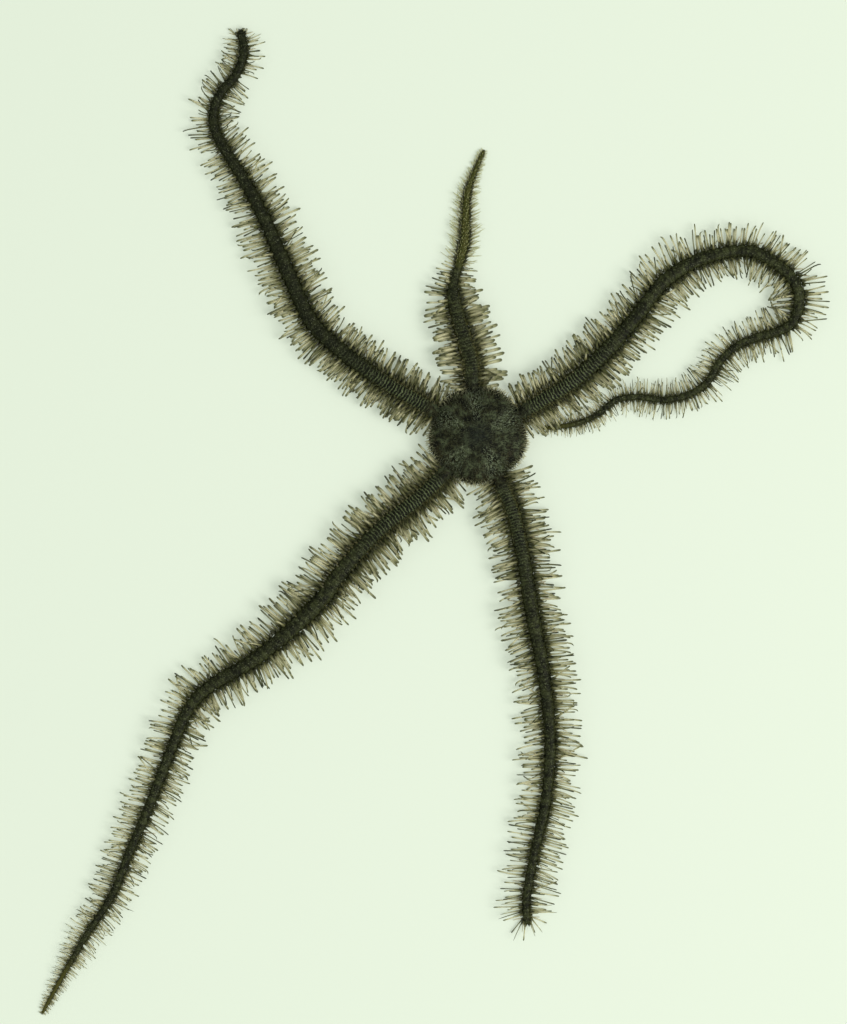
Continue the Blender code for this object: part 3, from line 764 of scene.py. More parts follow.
# %% Masks and layers of the skin
# Each mask is (what it looks at, low, high, strength at low, strength at high).
MASKS = {
    "on the arm": ("on_disc", 0.2, 0.8, 1.0, 0.0),
    "on the disc": ("on_disc", 0.1, 0.9, 0.0, 1.0),
    "above": ("below", 0.2, 0.8, 1.0, 0.0),
    "below": ("below", 0.2, 0.8, 0.0, 1.0),
    "blotches": ("blotch", 0.44, 0.64, 0.0, 1.0),
    "patches": ("patch", 0.48, 0.62, 0.0, 1.0),
    "dark patches": ("patch", 0.48, 0.36, 0.0, 1.0),
    "grains": ("grain", 0.44, 0.62, 0.0, 1.0),
    "pale grains": ("grain", 0.54, 0.68, 0.0, 0.7),
    "pale specks": ("fine", 0.58, 0.68, 0.0, 0.42),
    "dark specks": ("fine", 0.45, 0.34, 0.0, 0.7),
    "scaly": ("fine", 0.42, 0.60, 0.1, 0.6),
    "flank": ("aside", 0.45, 0.95, 0.0, 0.6),
    "back": ("aside", 0.42, 0.92, 1.0, 0.10),
    "mid line": ("aside", 0.30, 0.75, 0.70, 0.0),
    "joint": ("joint_wave", 0.04, 0.18, 0.6, 0.0),
    "arc": ("arc_wave", 0.30, 0.44, 0.0, 0.85),
    "arc gap": ("arc_wave", 0.18, 0.34, 0.95, 0.0),
    "mossy": ("mossy", 0.0, 1.0, 0.0, 0.8),
    "dusky": ("dusky", 0.0, 1.0, 0.0, 0.5),
    "slim": ("slim", 0.0, 1.0, 0.0, 0.8),
    "arched": ("arched", 0.0, 1.0, 0.10, 1.0),
    "young": ("young", 0.0, 1.0, 0.0, 0.9),
    "ray": ("ray", 0.0, 1.0, 0.0, 0.9),
    "shield": ("shield", 0.0, 1.0, 0.0, 0.6),
    "slit": ("slit", 0.2, 0.8, 0.0, 0.95),
    "outer": ("outwards", 0.35, 0.95, 0.0, 0.9),
    "inner": ("outwards", 0.03, 0.40, 0.0, 1.0),
    "centre": ("outwards", 0.04, 0.46, 0.65, 0.0),
}
# Later layers lie over earlier ones.
LAYERS = (
    ("#2e311a", "grains"),
    ("#1d1f0e", "blotches"),
    ("#4a4d2b", "flank"),
    ("#4e4c2a", "mossy"),
    ("#66643b", "mossy", "grains"),
    ("#191c0f", "mid line"),
    ("#32361f", "patches", "above"),
    ("#0f1108", "dark patches"),
    ("#41462d", "pale grains", "above", "back"),
    ("#0a0d07", "arc gap", "back", "arched"),
    ("#5a6446", "arc", "back", "arched"),
    ("#12160a", "dusky", "above"),
    ("#101108", "joint"),
    ("#0e0f07", "dark specks"),
    ("#7f8468", "pale specks", "above", "back"),
    ("#47461c", "slim", "above"),
    ("#3d4119", "young"),
    ("#504f29", "young", "grains"),
    ("#2b2c12", "young", "joint"),
    ("#1a1c10", "on the disc", "above"),
    ("#30321f", "on the disc", "above", "grains"),
    ("#2c2817", "on the disc", "above", "outer", "blotches"),
    ("#434a35", "on the disc", "above", "patches"),
    ("#0b0d07", "on the disc", "above", "dark patches"),
    ("#191f1d", "on the disc", "above", "centre"),
    ("#8b967a", "on the disc", "above", "ray", "inner", "pale grains"),
    ("#444a37", "on the disc", "shield", "scaly"),
    ("#0b0d07", "on the disc", "above", "dark specks"),
    ("#8b845e", "below"),
    ("#706a47", "below", "grains"),
    ("#a29b78", "below", "pale specks"),
    ("#57502f", "below", "on the arm", "joint"),
    ("#4d472c", "below", "on the disc", "scaly"),
    # Near-black in the slits is painted shade: the openings are real, but here they are only shallow dents,
    # so the shade inside them is painted.
    ("#15130c", "slit"),
)


# %% Material: pigmented skin
def skin_material():
    made, tree, shader = new_material("pigmented skin over calcite plates")
    at = node(tree, "ShaderNodeTexCoord").outputs["Object"]
    seen = {name: node(tree, "ShaderNodeAttribute", {"attribute_name": name}).outputs["Fac"]
            for name in numbers}
    for name, size in (("blotch", 1.9), ("patch", 0.8), ("grain", 0.34), ("fine", 0.13)):
        seen[name] = node(tree, "ShaderNodeTexNoise", Vector=at, Scale=1 / (size * MM), Detail=3.0,
                          Roughness=0.6)
    seen["aside"] = node(tree, "ShaderNodeMath", {"operation": "ABSOLUTE"}, in_0=seen["across"])
    # One dark line where each plate ends, bent back at the sides, and three pale arcs to two plates, bent
    # forwards.
    for name, bend, ragged, often in (("joint_wave", 0.30, 0.7, 1.0), ("arc_wave", -0.40, 0.8, 1.5)):
        wave = node(tree, "ShaderNodeMath", {"operation": "MULTIPLY_ADD"}, in_0=seen["aside"], in_1=bend,
                    in_2=seen["plates"])
        wave = node(tree, "ShaderNodeMath", {"operation": "MULTIPLY_ADD"}, in_0=seen["grain"], in_1=ragged,
                    in_2=wave)
        wave = node(tree, "ShaderNodeMath", {"operation": "MULTIPLY"}, in_0=wave, in_1=often)
        seen[name] = node(tree, "ShaderNodeMath", {"operation": "PINGPONG"}, in_0=wave, in_1=0.5)
    strength = {
        name: node(tree, "ShaderNodeMapRange", {"interpolation_type": "SMOOTHSTEP"}, Value=seen[what],
                   From_Min=low, From_Max=high, To_Min=start, To_Max=end)
        for name, (what, low, high, start, end) in MASKS.items()}
    colour = node(tree, "ShaderNodeMix", {"data_type": "RGBA"}, Factor=0.0, A=linear("#272914"))
    for paint, first, *others in LAYERS:
        mask = strength[first]
        for other in others:
            mask = node(tree, "ShaderNodeMath", {"operation": "MULTIPLY"}, in_0=mask, in_1=strength[other])
        colour = node(tree, "ShaderNodeMix", {"data_type": "RGBA"}, Factor=mask, A=colour, B=linear(paint))
    wet = node(tree, "ShaderNodeMapRange", Value=seen["grain"], From_Min=0.3, From_Max=0.7, To_Min=0.44,
               To_Max=0.62)
    relief = node(tree, "ShaderNodeBump", Height=seen["fine"], Distance=0.04 * MM, Strength=0.6)
    for socket, source in (("Base Color", colour.outputs[2]), ("Roughness", wet.outputs[0]),
                           ("Normal", relief.outputs[0])):
        tree.links.new(source, shader.inputs[socket])
    shader.inputs["IOR"].default_value = 1.4
    shader.inputs["Specular IOR Level"].default_value = 0.10
    return made


skin.data.materials.clear()
skin.data.materials.append(skin_material())
skin.data.polygons.foreach_set("material_index", np.zeros(len(skin.data.polygons), np.int32))
FLESH = [name for name in frame["nodes"] if name != "mouth"]
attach(skin, "root")
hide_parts(*FLESH)
print("the skin replaces", len(FLESH), "nodes")

# %% [markdown]
# ## The shapes of a spine
#
# Each side plate carries a fan of five spines. Seen close, a spine is a thin rod of glassy calcite in skin:
# a knob where it joins the plate, a shaft that narrows, and a blunt tip that is often a little swollen.
# Near the arm's tip they are pointed. Some are bent or hooked. A handful of shapes, each with a few dozen
# faces, is enough for all of them, because every one is then turned, stretched and coloured differently. A
# shape leans by a share of its radius, so a short thick spine that bends would curl up, and only the
# slender ones are bent.

# %% Shapes for spines, tube feet, papillae and spinelets
SLENDER = 16  # a spine's length over its radius at the root, so that a lean is a share of the length
# Each shape is one unit long and one unit in radius at its root. Each ring is (height, radius, lean).
SHAPES = {
    "spine_0_blunt": (6, ((0, 1.7, 0), (0.08, 1.5, 0), (0.17, 0.86, 0), (0.40, 0.68, 0), (0.66, 0.64, 0.01),
                          (0.86, 0.74, 0.02), (0.96, 0.70, 0.02), (1.0, 0.34, 0.02))),
    "spine_1_bent": (6, ((0, 1.7, 0), (0.08, 1.5, 0), (0.18, 0.82, 0), (0.40, 0.66, 0.02),
                         (0.62, 0.62, 0.07), (0.82, 0.64, 0.14), (0.94, 0.64, 0.19), (0.98, 0.30, 0.21))),
    "spine_2_hooked": (6, ((0, 1.6, 0), (0.08, 1.45, 0), (0.18, 0.80, 0), (0.50, 0.64, 0.0),
                           (0.74, 0.62, 0.02), (0.88, 0.62, 0.07), (0.95, 0.58, 0.14), (0.97, 0.30, 0.20))),
    "spine_3_pointed": (6, ((0, 1.6, 0), (0.07, 1.4, 0), (0.16, 0.76, 0), (0.42, 0.58, 0.01),
                            (0.66, 0.48, 0.02), (0.86, 0.38, 0.04), (1.0, 0.14, 0.06))),
    "spine_4_stout": (7, ((0, 1.3, 0), (0.07, 1.2, 0), (0.18, 0.84, 0), (0.42, 0.80, 0), (0.66, 0.82, 0),
                          (0.86, 0.88, 0), (0.96, 0.76, 0), (1.0, 0.38, 0))),
    "spine_5_tooth": (5, ((0, 1.7, 0), (0.30, 1.35, 0), (0.70, 0.75, 0.01), (1.0, 0.10, 0.03))),
    "foot_0": (6, ((0, 1.0, 0), (0.25, 0.92, 0), (0.55, 0.76, 0.02), (0.80, 0.62, 0.05), (0.94, 0.60, 0.07),
                   (1.0, 0.25, 0.08))),
    "papilla_0": (6, ((0, 1.0, 0), (0.35, 1.0, 0), (0.70, 0.86, 0), (0.93, 0.60, 0), (1.0, 0.22, 0))),
    "spinelet_0": (4, ((0, 1.0, 0), (0.35, 0.78, 0), (0.75, 0.55, 0.03), (1.0, 0.15, 0.06))),
    "spinelet_1": (4, ((0, 1.0, 0), (0.35, 0.80, 0.01), (0.75, 0.62, 0.06), (1.0, 0.30, 0.14))),
}


def shape_object(name):
    """A shape's mesh. up runs from 0 at the root to 1 at the tip, and patch is its own round unwrap."""
    sides, rings = SHAPES[name]
    turns = [math.tau * k / sides for k in range(sides)]
    points = [(lean * SLENDER + radius * math.cos(turn), radius * math.sin(turn), up)
              for up, radius, lean in rings for turn in turns]
    faces = [(near + k, near + (k + 1) % sides, near + sides + (k + 1) % sides, near + sides + k)
             for near in range(0, (len(rings) - 1) * sides, sides) for k in range(sides)]
    faces += [tuple(range(sides))[::-1], tuple(range(len(points) - sides, len(points)))]
    mesh = bpy.data.meshes.new(name)
    mesh.from_pydata(points, [], faces)
    mesh.shade_smooth()
    ups = np.repeat([up for up, _, _ in rings], sides)
    patch = np.stack([(1 - 0.85 * ups) * np.tile(np.cos(turns), len(rings)),
                      (1 - 0.85 * ups) * np.tile(np.sin(turns), len(rings)), 0 * ups], axis=1)
    put_numbers(mesh, {"up": ups, "patch": patch})
    return bpy.data.objects.new(name, mesh)


def shapes(prefix):
    """A collection of the shapes whose names start so, for a tree to pick from."""
    group = bpy.data.collections.new(prefix + "_shapes")
    for name in SHAPES:
        if name.startswith(prefix):
            group.objects.link(shape_object(name))
    return group


shape_groups = {prefix: shapes(prefix + "_") for prefix in ("spine", "foot", "papilla", "spinelet")}

# %% [markdown]
# ## Where the spines stand
#
# Every plate has the same fan on both sides: the top spines stand up steeply and are short, the middle ones
# are the longest, and the lowest lie just over the ground. All lean a little towards the arm's tip, and
# round a broken end they turn more and more until they stand like the rays of the sun. On the young tip
# they lean further forwards. Beside the disc there are five rows of short ones as well, which look like
# moss, and two rows of short dark teeth run along both sides of every arm.
#
# Before a spine is accepted, points along it are tested: it may not run through another arm, the disc or
# the floor, and it is raised or shortened until it is clear. It also has to end inside the room that the
# solid model gives. What isn't tested is one spine against another, so nearly every spine crosses a
# neighbour near its root.

# %% The fan, and what is in a spine's way
# From the top down: (height of the root as a share of the arm's height, degrees above level, share of the
# spines' length, share of the plates that have it, and how far its root is from the fan's middle as a share
# of the plate).
FAN = ((0.72, 50, 0.60, 0.90, 0.00), (0.62, 34, 0.78, 0.95, 0.24), (0.52, 20, 0.90, 0.95, -0.22),
       (0.40, 7, 0.98, 0.75, 0.06), (0.28, -3, 0.74, 0.80, -0.40))
MOSS = ((0.82, 58, 0.18, 1.0, 0.10), (0.72, 46, 0.22, 1.0, -0.25), (0.62, 34, 0.26, 1.0, 0.30),
        (0.50, 20, 0.30, 1.0, -0.05), (0.38, 8, 0.30, 1.0, 0.40))
TEETH = ((0.66, 40, 0.13, 1.0, 0.26), (0.58, 24, 0.17, 0.85, -0.16))
ROWS = [(group, *row) for group, rows in (("spine", FAN), ("moss", MOSS), ("tooth", TEETH)) for row in rows]
MOSS_REACH = {"long_arm": (10 * MM, 28 * MM), "straight_arm": (3 * MM, 8 * MM)}  # all of the moss, and none
DENSE = {"regrown_arm": 0.64, "straight_arm": 0.74, "looped_arm": 0.86, "hooked_arm": 0.82, "long_arm": 0.92}
FAN_PLACE = 0.66  # along the plate
SPINE_RADIUS = 0.155 * MM  # at the root, where the arm is widest
SUNK = 0.10 * MM
CLEAR_OF_FLOOR = 0.05 * MM
CROWDED = {"hooked_arm": 1}  # the side where an arm has all its spines, because it lies a little tilted
ARM_TALL = 0.82  # an arm's height over its width
TIP_RADIUS = 0.06 * MM
STEEPEST = 80  # degrees
SHORTEST_SHARE = 0.25  # a spine that would be shorter than this share of its length isn't made
# What is tried in turn, as (degrees raised, share of the length).
WAYS_ROUND = ((0, 1.0), (22, 1.0), (44, 0.9), (0, 0.6), (30, 0.6), (0, 0.35))
tips_low, tips_high = box_low + 0.03 * MM, box_high - 0.03 * MM


def unit(vector):
    return vector / np.linalg.norm(vector)


def direction(out, along, lean, raised):
    """The way out of an arm's side, leaned towards its tip by one angle and raised by the other."""
    level = out * math.cos(lean) + along * math.sin(lean)
    return np.array([level[0] * math.cos(raised), level[1] * math.cos(raised), math.sin(raised)])


def in_the_way(points, owner, s):
    """True if a point is inside another arm, a far stretch of its own arm, or the disc."""
    near = nearest_track(points)
    apart = np.linalg.norm(points[:, :2] - track["at"][near, :2], axis=1)
    width = track["at"][near, 2]
    inside = (apart < 0.47 * width) & (points[:, 2] < ARM_TALL * width)
    inside &= (track["owner"][near] != owner) | (np.abs(track["s"][near] - s) > 6 * MM)
    radius = np.hypot(points[:, 0], points[:, 1])
    in_disc = radius < 0.97 * rim_radius(np.arctan2(points[:, 1], points[:, 0]))
    in_disc &= points[:, 2] < 2.6 * MM
    return bool((inside | in_disc).any())


def fitted(root, way, length, owner, s):
    """The spine's direction and length once it is clear of everything, or None."""
    for raised, share in WAYS_ROUND:
        level = unit(np.array([way[0], way[1], 0.0]))
        angle = math.asin(way[2]) + math.radians(raised)
        lowest = math.asin(min(0.9, max(-0.9, (CLEAR_OF_FLOOR + TIP_RADIUS - root[2]) / (length * share))))
        angle = min(max(angle, lowest), math.radians(STEEPEST))
        tried = level * math.cos(angle) + np.array([0, 0, math.sin(angle)])
        reach = length * share
        for axis in range(3):
            room = (tips_high if tried[axis] > 0 else tips_low)[axis] - root[axis]
            if abs(tried[axis]) > 1e-6:
                reach = min(reach, room / tried[axis])
        line = root + tried * np.linspace(0.3, 1.0, 5)[:, None] * reach
        if reach > SHORTEST_SHARE * length and not in_the_way(line, owner, s):
            return tried, reach
    return None


# %% Roots for the spines of one arm
def turned_to(way, side):
    """The turn that points a shape's length along way and its lean towards side."""
    side = unit(side - way * (side @ way))
    return Matrix(np.stack([side, np.cross(way, side), way], axis=1).tolist()).to_quaternion()


SUNBURST = 68  # degrees of turn at a broken end
SUNBURST_FROM = 1.3 * MM  # how far from the end the turn starts
ASTRAY, ASTRAY_FROM = 14, 1.9  # how far a few spines lean astray, and how rare they are
YOUNG_BACK = 0.4  # the share of the upper rows' spines that the young arm has
DENSEST = 0.94  # the share that every arm has far from the disc
# How wide the arm is at each height, as shares of its greatest width and of its height.
SIDE_HEIGHTS = (0, 0.1, 0.34, 0.47, 0.6, 0.71, 0.81, 0.9)
SIDE_WIDTHS = (0.4, 0.62, 0.92, 0.98, 0.95, 0.86, 0.70, 0.48)
YOUNG_LEAN = 24  # degrees that the young arm's spines lean on towards its tip
YOUNG_TOOTH = 1.7  # times the length of a tooth elsewhere


def is_young(name, s):
    return name == "regrown_arm" and s > YOUNG_FROM


def kept_share(name, side, s, group, row):
    """The share of a row's places at s that have a spine. Moss fades out along the arm."""
    if group == "moss":
        near, far = MOSS_REACH.get(name, (5 * MM, 12.5 * MM))
        return smooth_step(far, near, s)
    if is_young(name, s):
        return YOUNG_BACK if row < 2 else 1.0
    if group == "tooth" or CROWDED.get(name) == side:
        return 1.0
    return DENSE[name] + (DENSEST - DENSE[name]) * smooth_step(8 * MM, 26 * MM, s)


def spine_roots(name):
    owner, route, starts = list(routes).index(name), routes[name], plates[name]
    dice = random.Random(100 + owner)
    found = []
    for start, end in zip(starts, starts[1:]):
        for side in (-1, 1):
            fan_lean, fan_place = dice.gauss(4, 4), FAN_PLACE + dice.uniform(-0.06, 0.06)
            for row, (group, up, raised, share, kept, shift) in enumerate(ROWS):
                s = min(start + (end - start) * (fan_place + shift + dice.uniform(-0.07, 0.07)), starts[-1])
                kept *= kept_share(name, side, s, group, row)
                x, y, width, longest = route.at(s)
                along = route.along(s)
                out = np.array([-along[1], along[0]]) * side
                rounded_here = rounding(name, s)
                half_here = 0.5 * width * rounded_here * np.interp(up, SIDE_HEIGHTS, SIDE_WIDTHS)
                root = np.array([x + out[0] * half_here, y + out[1] * half_here,
                                 up * ARM_TALL * width * SKIN_DEPTH * (0.4 + 0.6 * rounded_here)])
                radius = math.hypot(root[0], root[1])
                chance, wobble = dice.random(), [dice.gauss(0, 1) for _ in range(6)]
                if chance > kept or radius < rim_radius(math.atan2(root[1], root[0])) - 0.15 * MM:
                    continue
                astray = ASTRAY * wobble[5] if abs(wobble[5]) > ASTRAY_FROM else 0
                sunburst = 0
                if name in BLUNT:
                    sunburst = SUNBURST * smooth_step(SUNBURST_FROM, 0.1 * MM, starts[-1] - s)
                forward = YOUNG_LEAN if is_young(name, s) else 0
                lean = math.radians(fan_lean + 2.5 * wobble[0] + astray + sunburst + forward)
                way = direction(out, along, lean, math.radians(raised + 5 * wobble[1]))
                length = longest * share * (1 + 0.10 * wobble[2])
                length *= 0.86 + 0.14 * smooth_step(9, 24, s / MM)
                length *= YOUNG_TOOTH if is_young(name, s) and group == "tooth" else 1.0
                placed = fitted(root, way, length, owner, s)
                if placed is None:
                    continue
                way, length = placed
                found.append((row, side, s, width, root, way, length, along, wobble))
    return found


all_roots = {name: spine_roots(name) for name in routes}
print("spines:", {name: len(found) for name, found in all_roots.items()})


# %% [markdown]
# The shape of each spine depends on where it is: stout on the stump of the regrown arm, pointed towards the
# tips, blunt elsewhere, and now and then bent or hooked. Its thickness follows the arm's width, and the
# lowest are the thickest. A dark one is a little thinner. All this goes into numbers on the root points,
# which the tree then reads.

# %% Numbers for the root points
BLUNT_SPINE, BENT_SPINE, HOOKED_SPINE, POINTED_SPINE, STOUT_SPINE, TOOTH = range(6)


def spine_kind(name, group, s, width, chance):
    if group == "tooth":
        return TOOTH
    if group == "moss":
        return POINTED_SPINE
    if s > routes[name].length - 2.5 * MM:
        return POINTED_SPINE if chance < 0.5 else BLUNT_SPINE
    if name == "regrown_arm" and s < YOUNG_FROM - 0.6 * MM:
        return STOUT_SPINE if chance < 0.6 else BLUNT_SPINE
    if is_young(name, s) or chance < 0.9 * smooth_step(1.15 * MM, 0.6 * MM, width):
        return POINTED_SPINE
    if chance > 0.90:
        return HOOKED_SPINE
    return BENT_SPINE if chance > 0.68 else BLUNT_SPINE


DARK_SHARE = (0.76, 0.46, 0.26, 0.12, 0.05)  # of the spines in each row of the fan, from the top down
DARK_FROM = 40 * MM  # along the hooked arm, whose last spines are mostly dark
THICKNESS = {"spine": 1.0, "moss": 0.62, "tooth": 0.95}
STOUT_DARK, HOOKED_DARK = 0.6, 2.0  # how the share of dark spines changes on the stump and on the hooked end
DARK_THIN, STOUT_THICK, YOUNG_THIN = 0.84, 1.3, 0.85  # thickness, as a share of what it is elsewhere
LOW_AND_HIGH_THICK = (1.15, 0.88)  # the same for the lowest and the highest row of the fan
CURL_FROM = 16  # a spine bends or hooks only when it is this many times as long as it is thick


def root_points(name):
    found = all_roots[name]
    dice = random.Random(200 + list(routes).index(name))
    points, kinds, turns, sizes, places, tones, darks, mosses, teeth = ([] for _ in range(9))
    for row, side, s, width, root, way, length, along, wobble in found:
        group, height = ROWS[row][:2]
        kind = spine_kind(name, group, s, width, dice.random())
        ahead = 1 if dice.random() < 0.8 else -1
        turns.append(turned_to(way, np.array([along[0] * ahead, along[1] * ahead, dice.uniform(0.3, 1.6)])))
        on_dark_end = name == "hooked_arm" and s > DARK_FROM
        darker = STOUT_DARK if kind == STOUT_SPINE else HOOKED_DARK if on_dark_end else 1.0
        is_dark = group == "spine" and dice.random() < DARK_SHARE[row] * darker
        thick = SPINE_RADIUS * (width / WIDEST) ** 0.55 * (1 + 0.10 * wobble[3]) * THICKNESS[group]
        thick *= DARK_THIN if is_dark else STOUT_THICK if kind == STOUT_SPINE else 1
        thick *= YOUNG_THIN if is_young(name, s) else 1
        thick *= np.interp(height, (0.28, 0.72), LOW_AND_HIGH_THICK)
        if kind in (BENT_SPINE, HOOKED_SPINE) and length < CURL_FROM * thick:
            kind = BLUNT_SPINE
        sizes.append((thick, thick, length + SUNK))
        around = side * (0.08 + 0.36 * (1 - height))
        places.append((0.02 + 0.96 * s / routes[name].length, 0.5 + around, 0.0))
        points.append(root - way * SUNK)
        kinds.append(kind)
        tones.append(0.5 + 0.22 * wobble[4])
        darks.append(dice.uniform(0.75, 1.0) if is_dark else dice.uniform(0.0, 0.22))
        mosses.append(dice.uniform(0.7, 1.0) * (group == "moss"))
        teeth.append(float(group == "tooth"))
    points = np.array(points)
    young = markings(points)["young"]
    return points_object(name + "_roots", points, kind=np.array(kinds, np.int32), turn=np.array(turns),
                         size=np.array(sizes), place=np.array(places), tone=np.clip(tones, 0, 1),
                         dark=np.array(darks), moss=np.array(mosses), tooth=np.array(teeth), young=young)


# %% [markdown]
# ## Growing a coat with Geometry Nodes
#
# Instance on Points puts a shape at each root point, and the numbers on the points choose, turn and stretch
# it. An instance is only a reference, so Realize Instances makes real faces of them. The tree also writes a
# second unwrap, OFBake. It peels the arm open like a strip, and each spine is a tiny round patch at its own
# root.

# %% The tree that grows a coat
PATCH = 0.003  # across, as a share of the unwrap


def coat_tree():
    tree, given, out = new_tree("coat", {"Shapes": "NodeSocketCollection", "Patch": "NodeSocketFloat",
                                         "Finish": "NodeSocketMaterial"})
    kind, turn, size, place, patch = (
        node(tree, "GeometryNodeInputNamedAttribute", {"data_type": what}, Name=name)
        for what, name in (("INT", "kind"), ("QUATERNION", "turn"), ("FLOAT_VECTOR", "size"),
                           ("FLOAT_VECTOR", "place"), ("FLOAT_VECTOR", "patch")))
    picked = node(tree, "GeometryNodeCollectionInfo", Collection=given["Shapes"], Separate_Children=True,
                  Reset_Children=True)
    coat = node(tree, "GeometryNodeInstanceOnPoints", Points=given["Geometry"], Instance=picked,
                Pick_Instance=True, Instance_Index=kind, Rotation=turn, Scale=size)
    coat = node(tree, "GeometryNodeRealizeInstances", Geometry=coat)
    half = node(tree, "ShaderNodeMath", {"operation": "MULTIPLY"}, in_0=given["Patch"], in_1=0.5)
    spread = node(tree, "ShaderNodeVectorMath", {"operation": "SCALE"}, Vector=patch, Scale=half)
    flat = node(tree, "ShaderNodeVectorMath", {"operation": "ADD"}, in_0=place, in_1=spread)
    coat = node(tree, "GeometryNodeStoreNamedAttribute", {"data_type": "FLOAT2", "domain": "CORNER"},
                Geometry=coat, Name="OFBake", Value=flat)
    coat = node(tree, "GeometryNodeSetMaterial", Geometry=coat, Material=given["Finish"])
    tree.links.new(coat.outputs[0], out.inputs[0])
    return tree


coat_of_shapes = coat_tree()
LOWEST = 0.02 * MM


def kept_in_room(coat):
    """Presses the few bent tips that stick out of the model's room, or into the ground, back inside it."""
    points, _ = mesh_arrays(coat.data)
    held = np.clip(points, box_low + 0.01 * MM, box_high - 0.01 * MM)
    held[:, 2] = np.maximum(held[:, 2], LOWEST)
    coat.data.vertices.foreach_set("co", held.astype(np.float32).ravel())
    coat.data.update()
    print("points pressed back:", int((held != points).any(axis=1).sum()), "by up to",
          round(float(np.abs(held - points).max()) / MM, 2), "mm")

# %% [markdown]
# ## Spines and their finish
#
# Calcite is clear, and the skin on a spine is thin, so it looks like smoked horn: dark olive at the knob,
# pale along the shaft and olive again towards the tip. In some the skin is so dark that little shines
# through: most of these stand high in the fan, and the low ones are pale. On the end of the hooked arm most
# are dark. A share of transmission lets light through, as in horn or fingernail. The surface is smooth but
# not polished.

# %% Material: skin over clear calcite
# Colours from the root to the tip, for a pale spine and for a dark one.
PALE_SPINE = ((0.0, "#45482a"), (0.11, "#68693e"), (0.24, "#aaa778"), (0.44, "#dedab4"), (0.68, "#e6e2be"),
              (0.83, "#c2c094"), (0.92, "#82845a"), (1.0, "#62643c"))
DARK_SPINE = ((0.0, "#2a2e16"), (0.17, "#373c1d"), (0.30, "#676a3a"), (0.46, "#7a7d4b"), (0.62, "#585c31"),
              (0.86, "#3a4020"), (1.0, "#2f3419"))


def spine_material():
    made, tree, shader = new_material("thin skin over clear calcite")
    at = node(tree, "ShaderNodeTexCoord").outputs["Object"]
    up, tone, dark, young, moss, tooth = (
        node(tree, "ShaderNodeAttribute", {"attribute_name": name}).outputs["Fac"]
        for name in ("up", "tone", "dark", "young", "moss", "tooth"))
    shafts = []
    for stops in (PALE_SPINE, DARK_SPINE):
        shafts.append(node(tree, "ShaderNodeValToRGB", Fac=up))
        ramp = shafts[-1].color_ramp
        for number, (place, paint) in enumerate(stops):
            stop = ramp.elements[number] if number < 2 else ramp.elements.new(place)
            stop.position, stop.color = place, linear(paint)
    darker = node(tree, "ShaderNodeMath", {"operation": "MULTIPLY_ADD"}, in_0=tone, in_1=-0.3, in_2=0.15)
    darker = node(tree, "ShaderNodeMath", {"operation": "ADD", "use_clamp": True}, in_0=darker, in_1=dark)
    colour = node(tree, "ShaderNodeMix", {"data_type": "RGBA"}, Factor=darker, A=shafts[0], B=shafts[1])
    mottle = node(tree, "ShaderNodeTexNoise", Vector=at, Scale=1 / (0.16 * MM), Detail=2.0)
    uneven = node(tree, "ShaderNodeMapRange", Value=mottle, From_Min=0.48, From_Max=0.7, To_Max=0.22)
    shaft = node(tree, "ShaderNodeMapRange", Value=up, From_Min=0.15, From_Max=0.7)
    young = node(tree, "ShaderNodeMath", {"operation": "MULTIPLY"}, in_0=young, in_1=shaft)
    for paint, mask in (("#5a5c34", uneven), ("#c8ca9c", young), ("#5f5c36", moss), ("#3c3f22", tooth)):
        colour = node(tree, "ShaderNodeMix", {"data_type": "RGBA"}, Factor=mask, A=colour, B=linear(paint))
    tree.links.new(colour.outputs[2], shader.inputs["Base Color"])
    shader.inputs["Roughness"].default_value = 0.38
    shader.inputs["IOR"].default_value = 1.45
    shader.inputs["Transmission Weight"].default_value = 0.45
    return made


calcite = spine_material()
for name in routes:
    roots = root_points(name)
    coat = grown(name + "_spines", roots, coat_of_shapes, Shapes=shape_groups["spine"], Patch=PATCH,
                 Finish=calcite)
    kept_in_room(coat)
    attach(coat, "root")

# %% [markdown]
# ## Tube feet
#
# Two soft feet come out from under nearly every plate. A brittle star has no suckers: its feet are pointed,
# and it uses them to smell, to feel and to pass food along. Here they spread sideways on the ground, so
# that their pale ends show between the lowest spines. A foot is never longer than a share of the spines
# beside it, or on a thin arm it would stick out past them. Under the disc there is no room for feet, and
# none are made.

# %% Roots for the tube feet
FOOT_RADIUS = 0.11 * MM
FOOT_LENGTH = 1.9 * MM
FOOT_SHARE = 0.6  # of the spines' length there, at most
FOOT_ASIDE = 0.30  # of the arm's width, from its middle line


def foot_points():
    dice = random.Random(31)
    turns, sizes, places, tones, points = ([] for _ in range(5))
    for owner, (name, route) in enumerate(routes.items()):
        for start, end in zip(plates[name], plates[name][1:]):
            for side in (-1, 1):
                s = start + (end - start) * dice.uniform(0.3, 0.5)
                x, y, width, longest = route.at(s)
                along = route.along(s)
                size = math.sqrt(width / WIDEST)
                out = np.array([-along[1], along[0]]) * side
                root = np.array([x + FOOT_ASIDE * width * out[0], y + FOOT_ASIDE * width * out[1],
                                 0.05 * width + 0.06 * MM])
                lean, rise = math.radians(dice.gauss(12, 20)), math.radians(dice.uniform(0, 9))
                way = direction(out, along, lean, rise)
                reach = min(FOOT_LENGTH * size * dice.uniform(0.7, 1.15), FOOT_SHARE * longest)
                placed = fitted(root, way, reach, owner, s)
                if placed is None:
                    continue
                way, length = placed
                turns.append(turned_to(way, np.array([along[0], along[1], 0.8])))
                sizes.append((FOOT_RADIUS * size, FOOT_RADIUS * size, length))
                places.append((0.02 + 0.96 * s / route.length, 0.5 + 0.44 * side, 0.0))
                tones.append(dice.random())
                points.append(root)
    return points_object("foot_roots", points, kind=np.zeros(len(points), np.int32), turn=np.array(turns),
                         size=np.array(sizes), place=np.array(places), tone=np.array(tones))


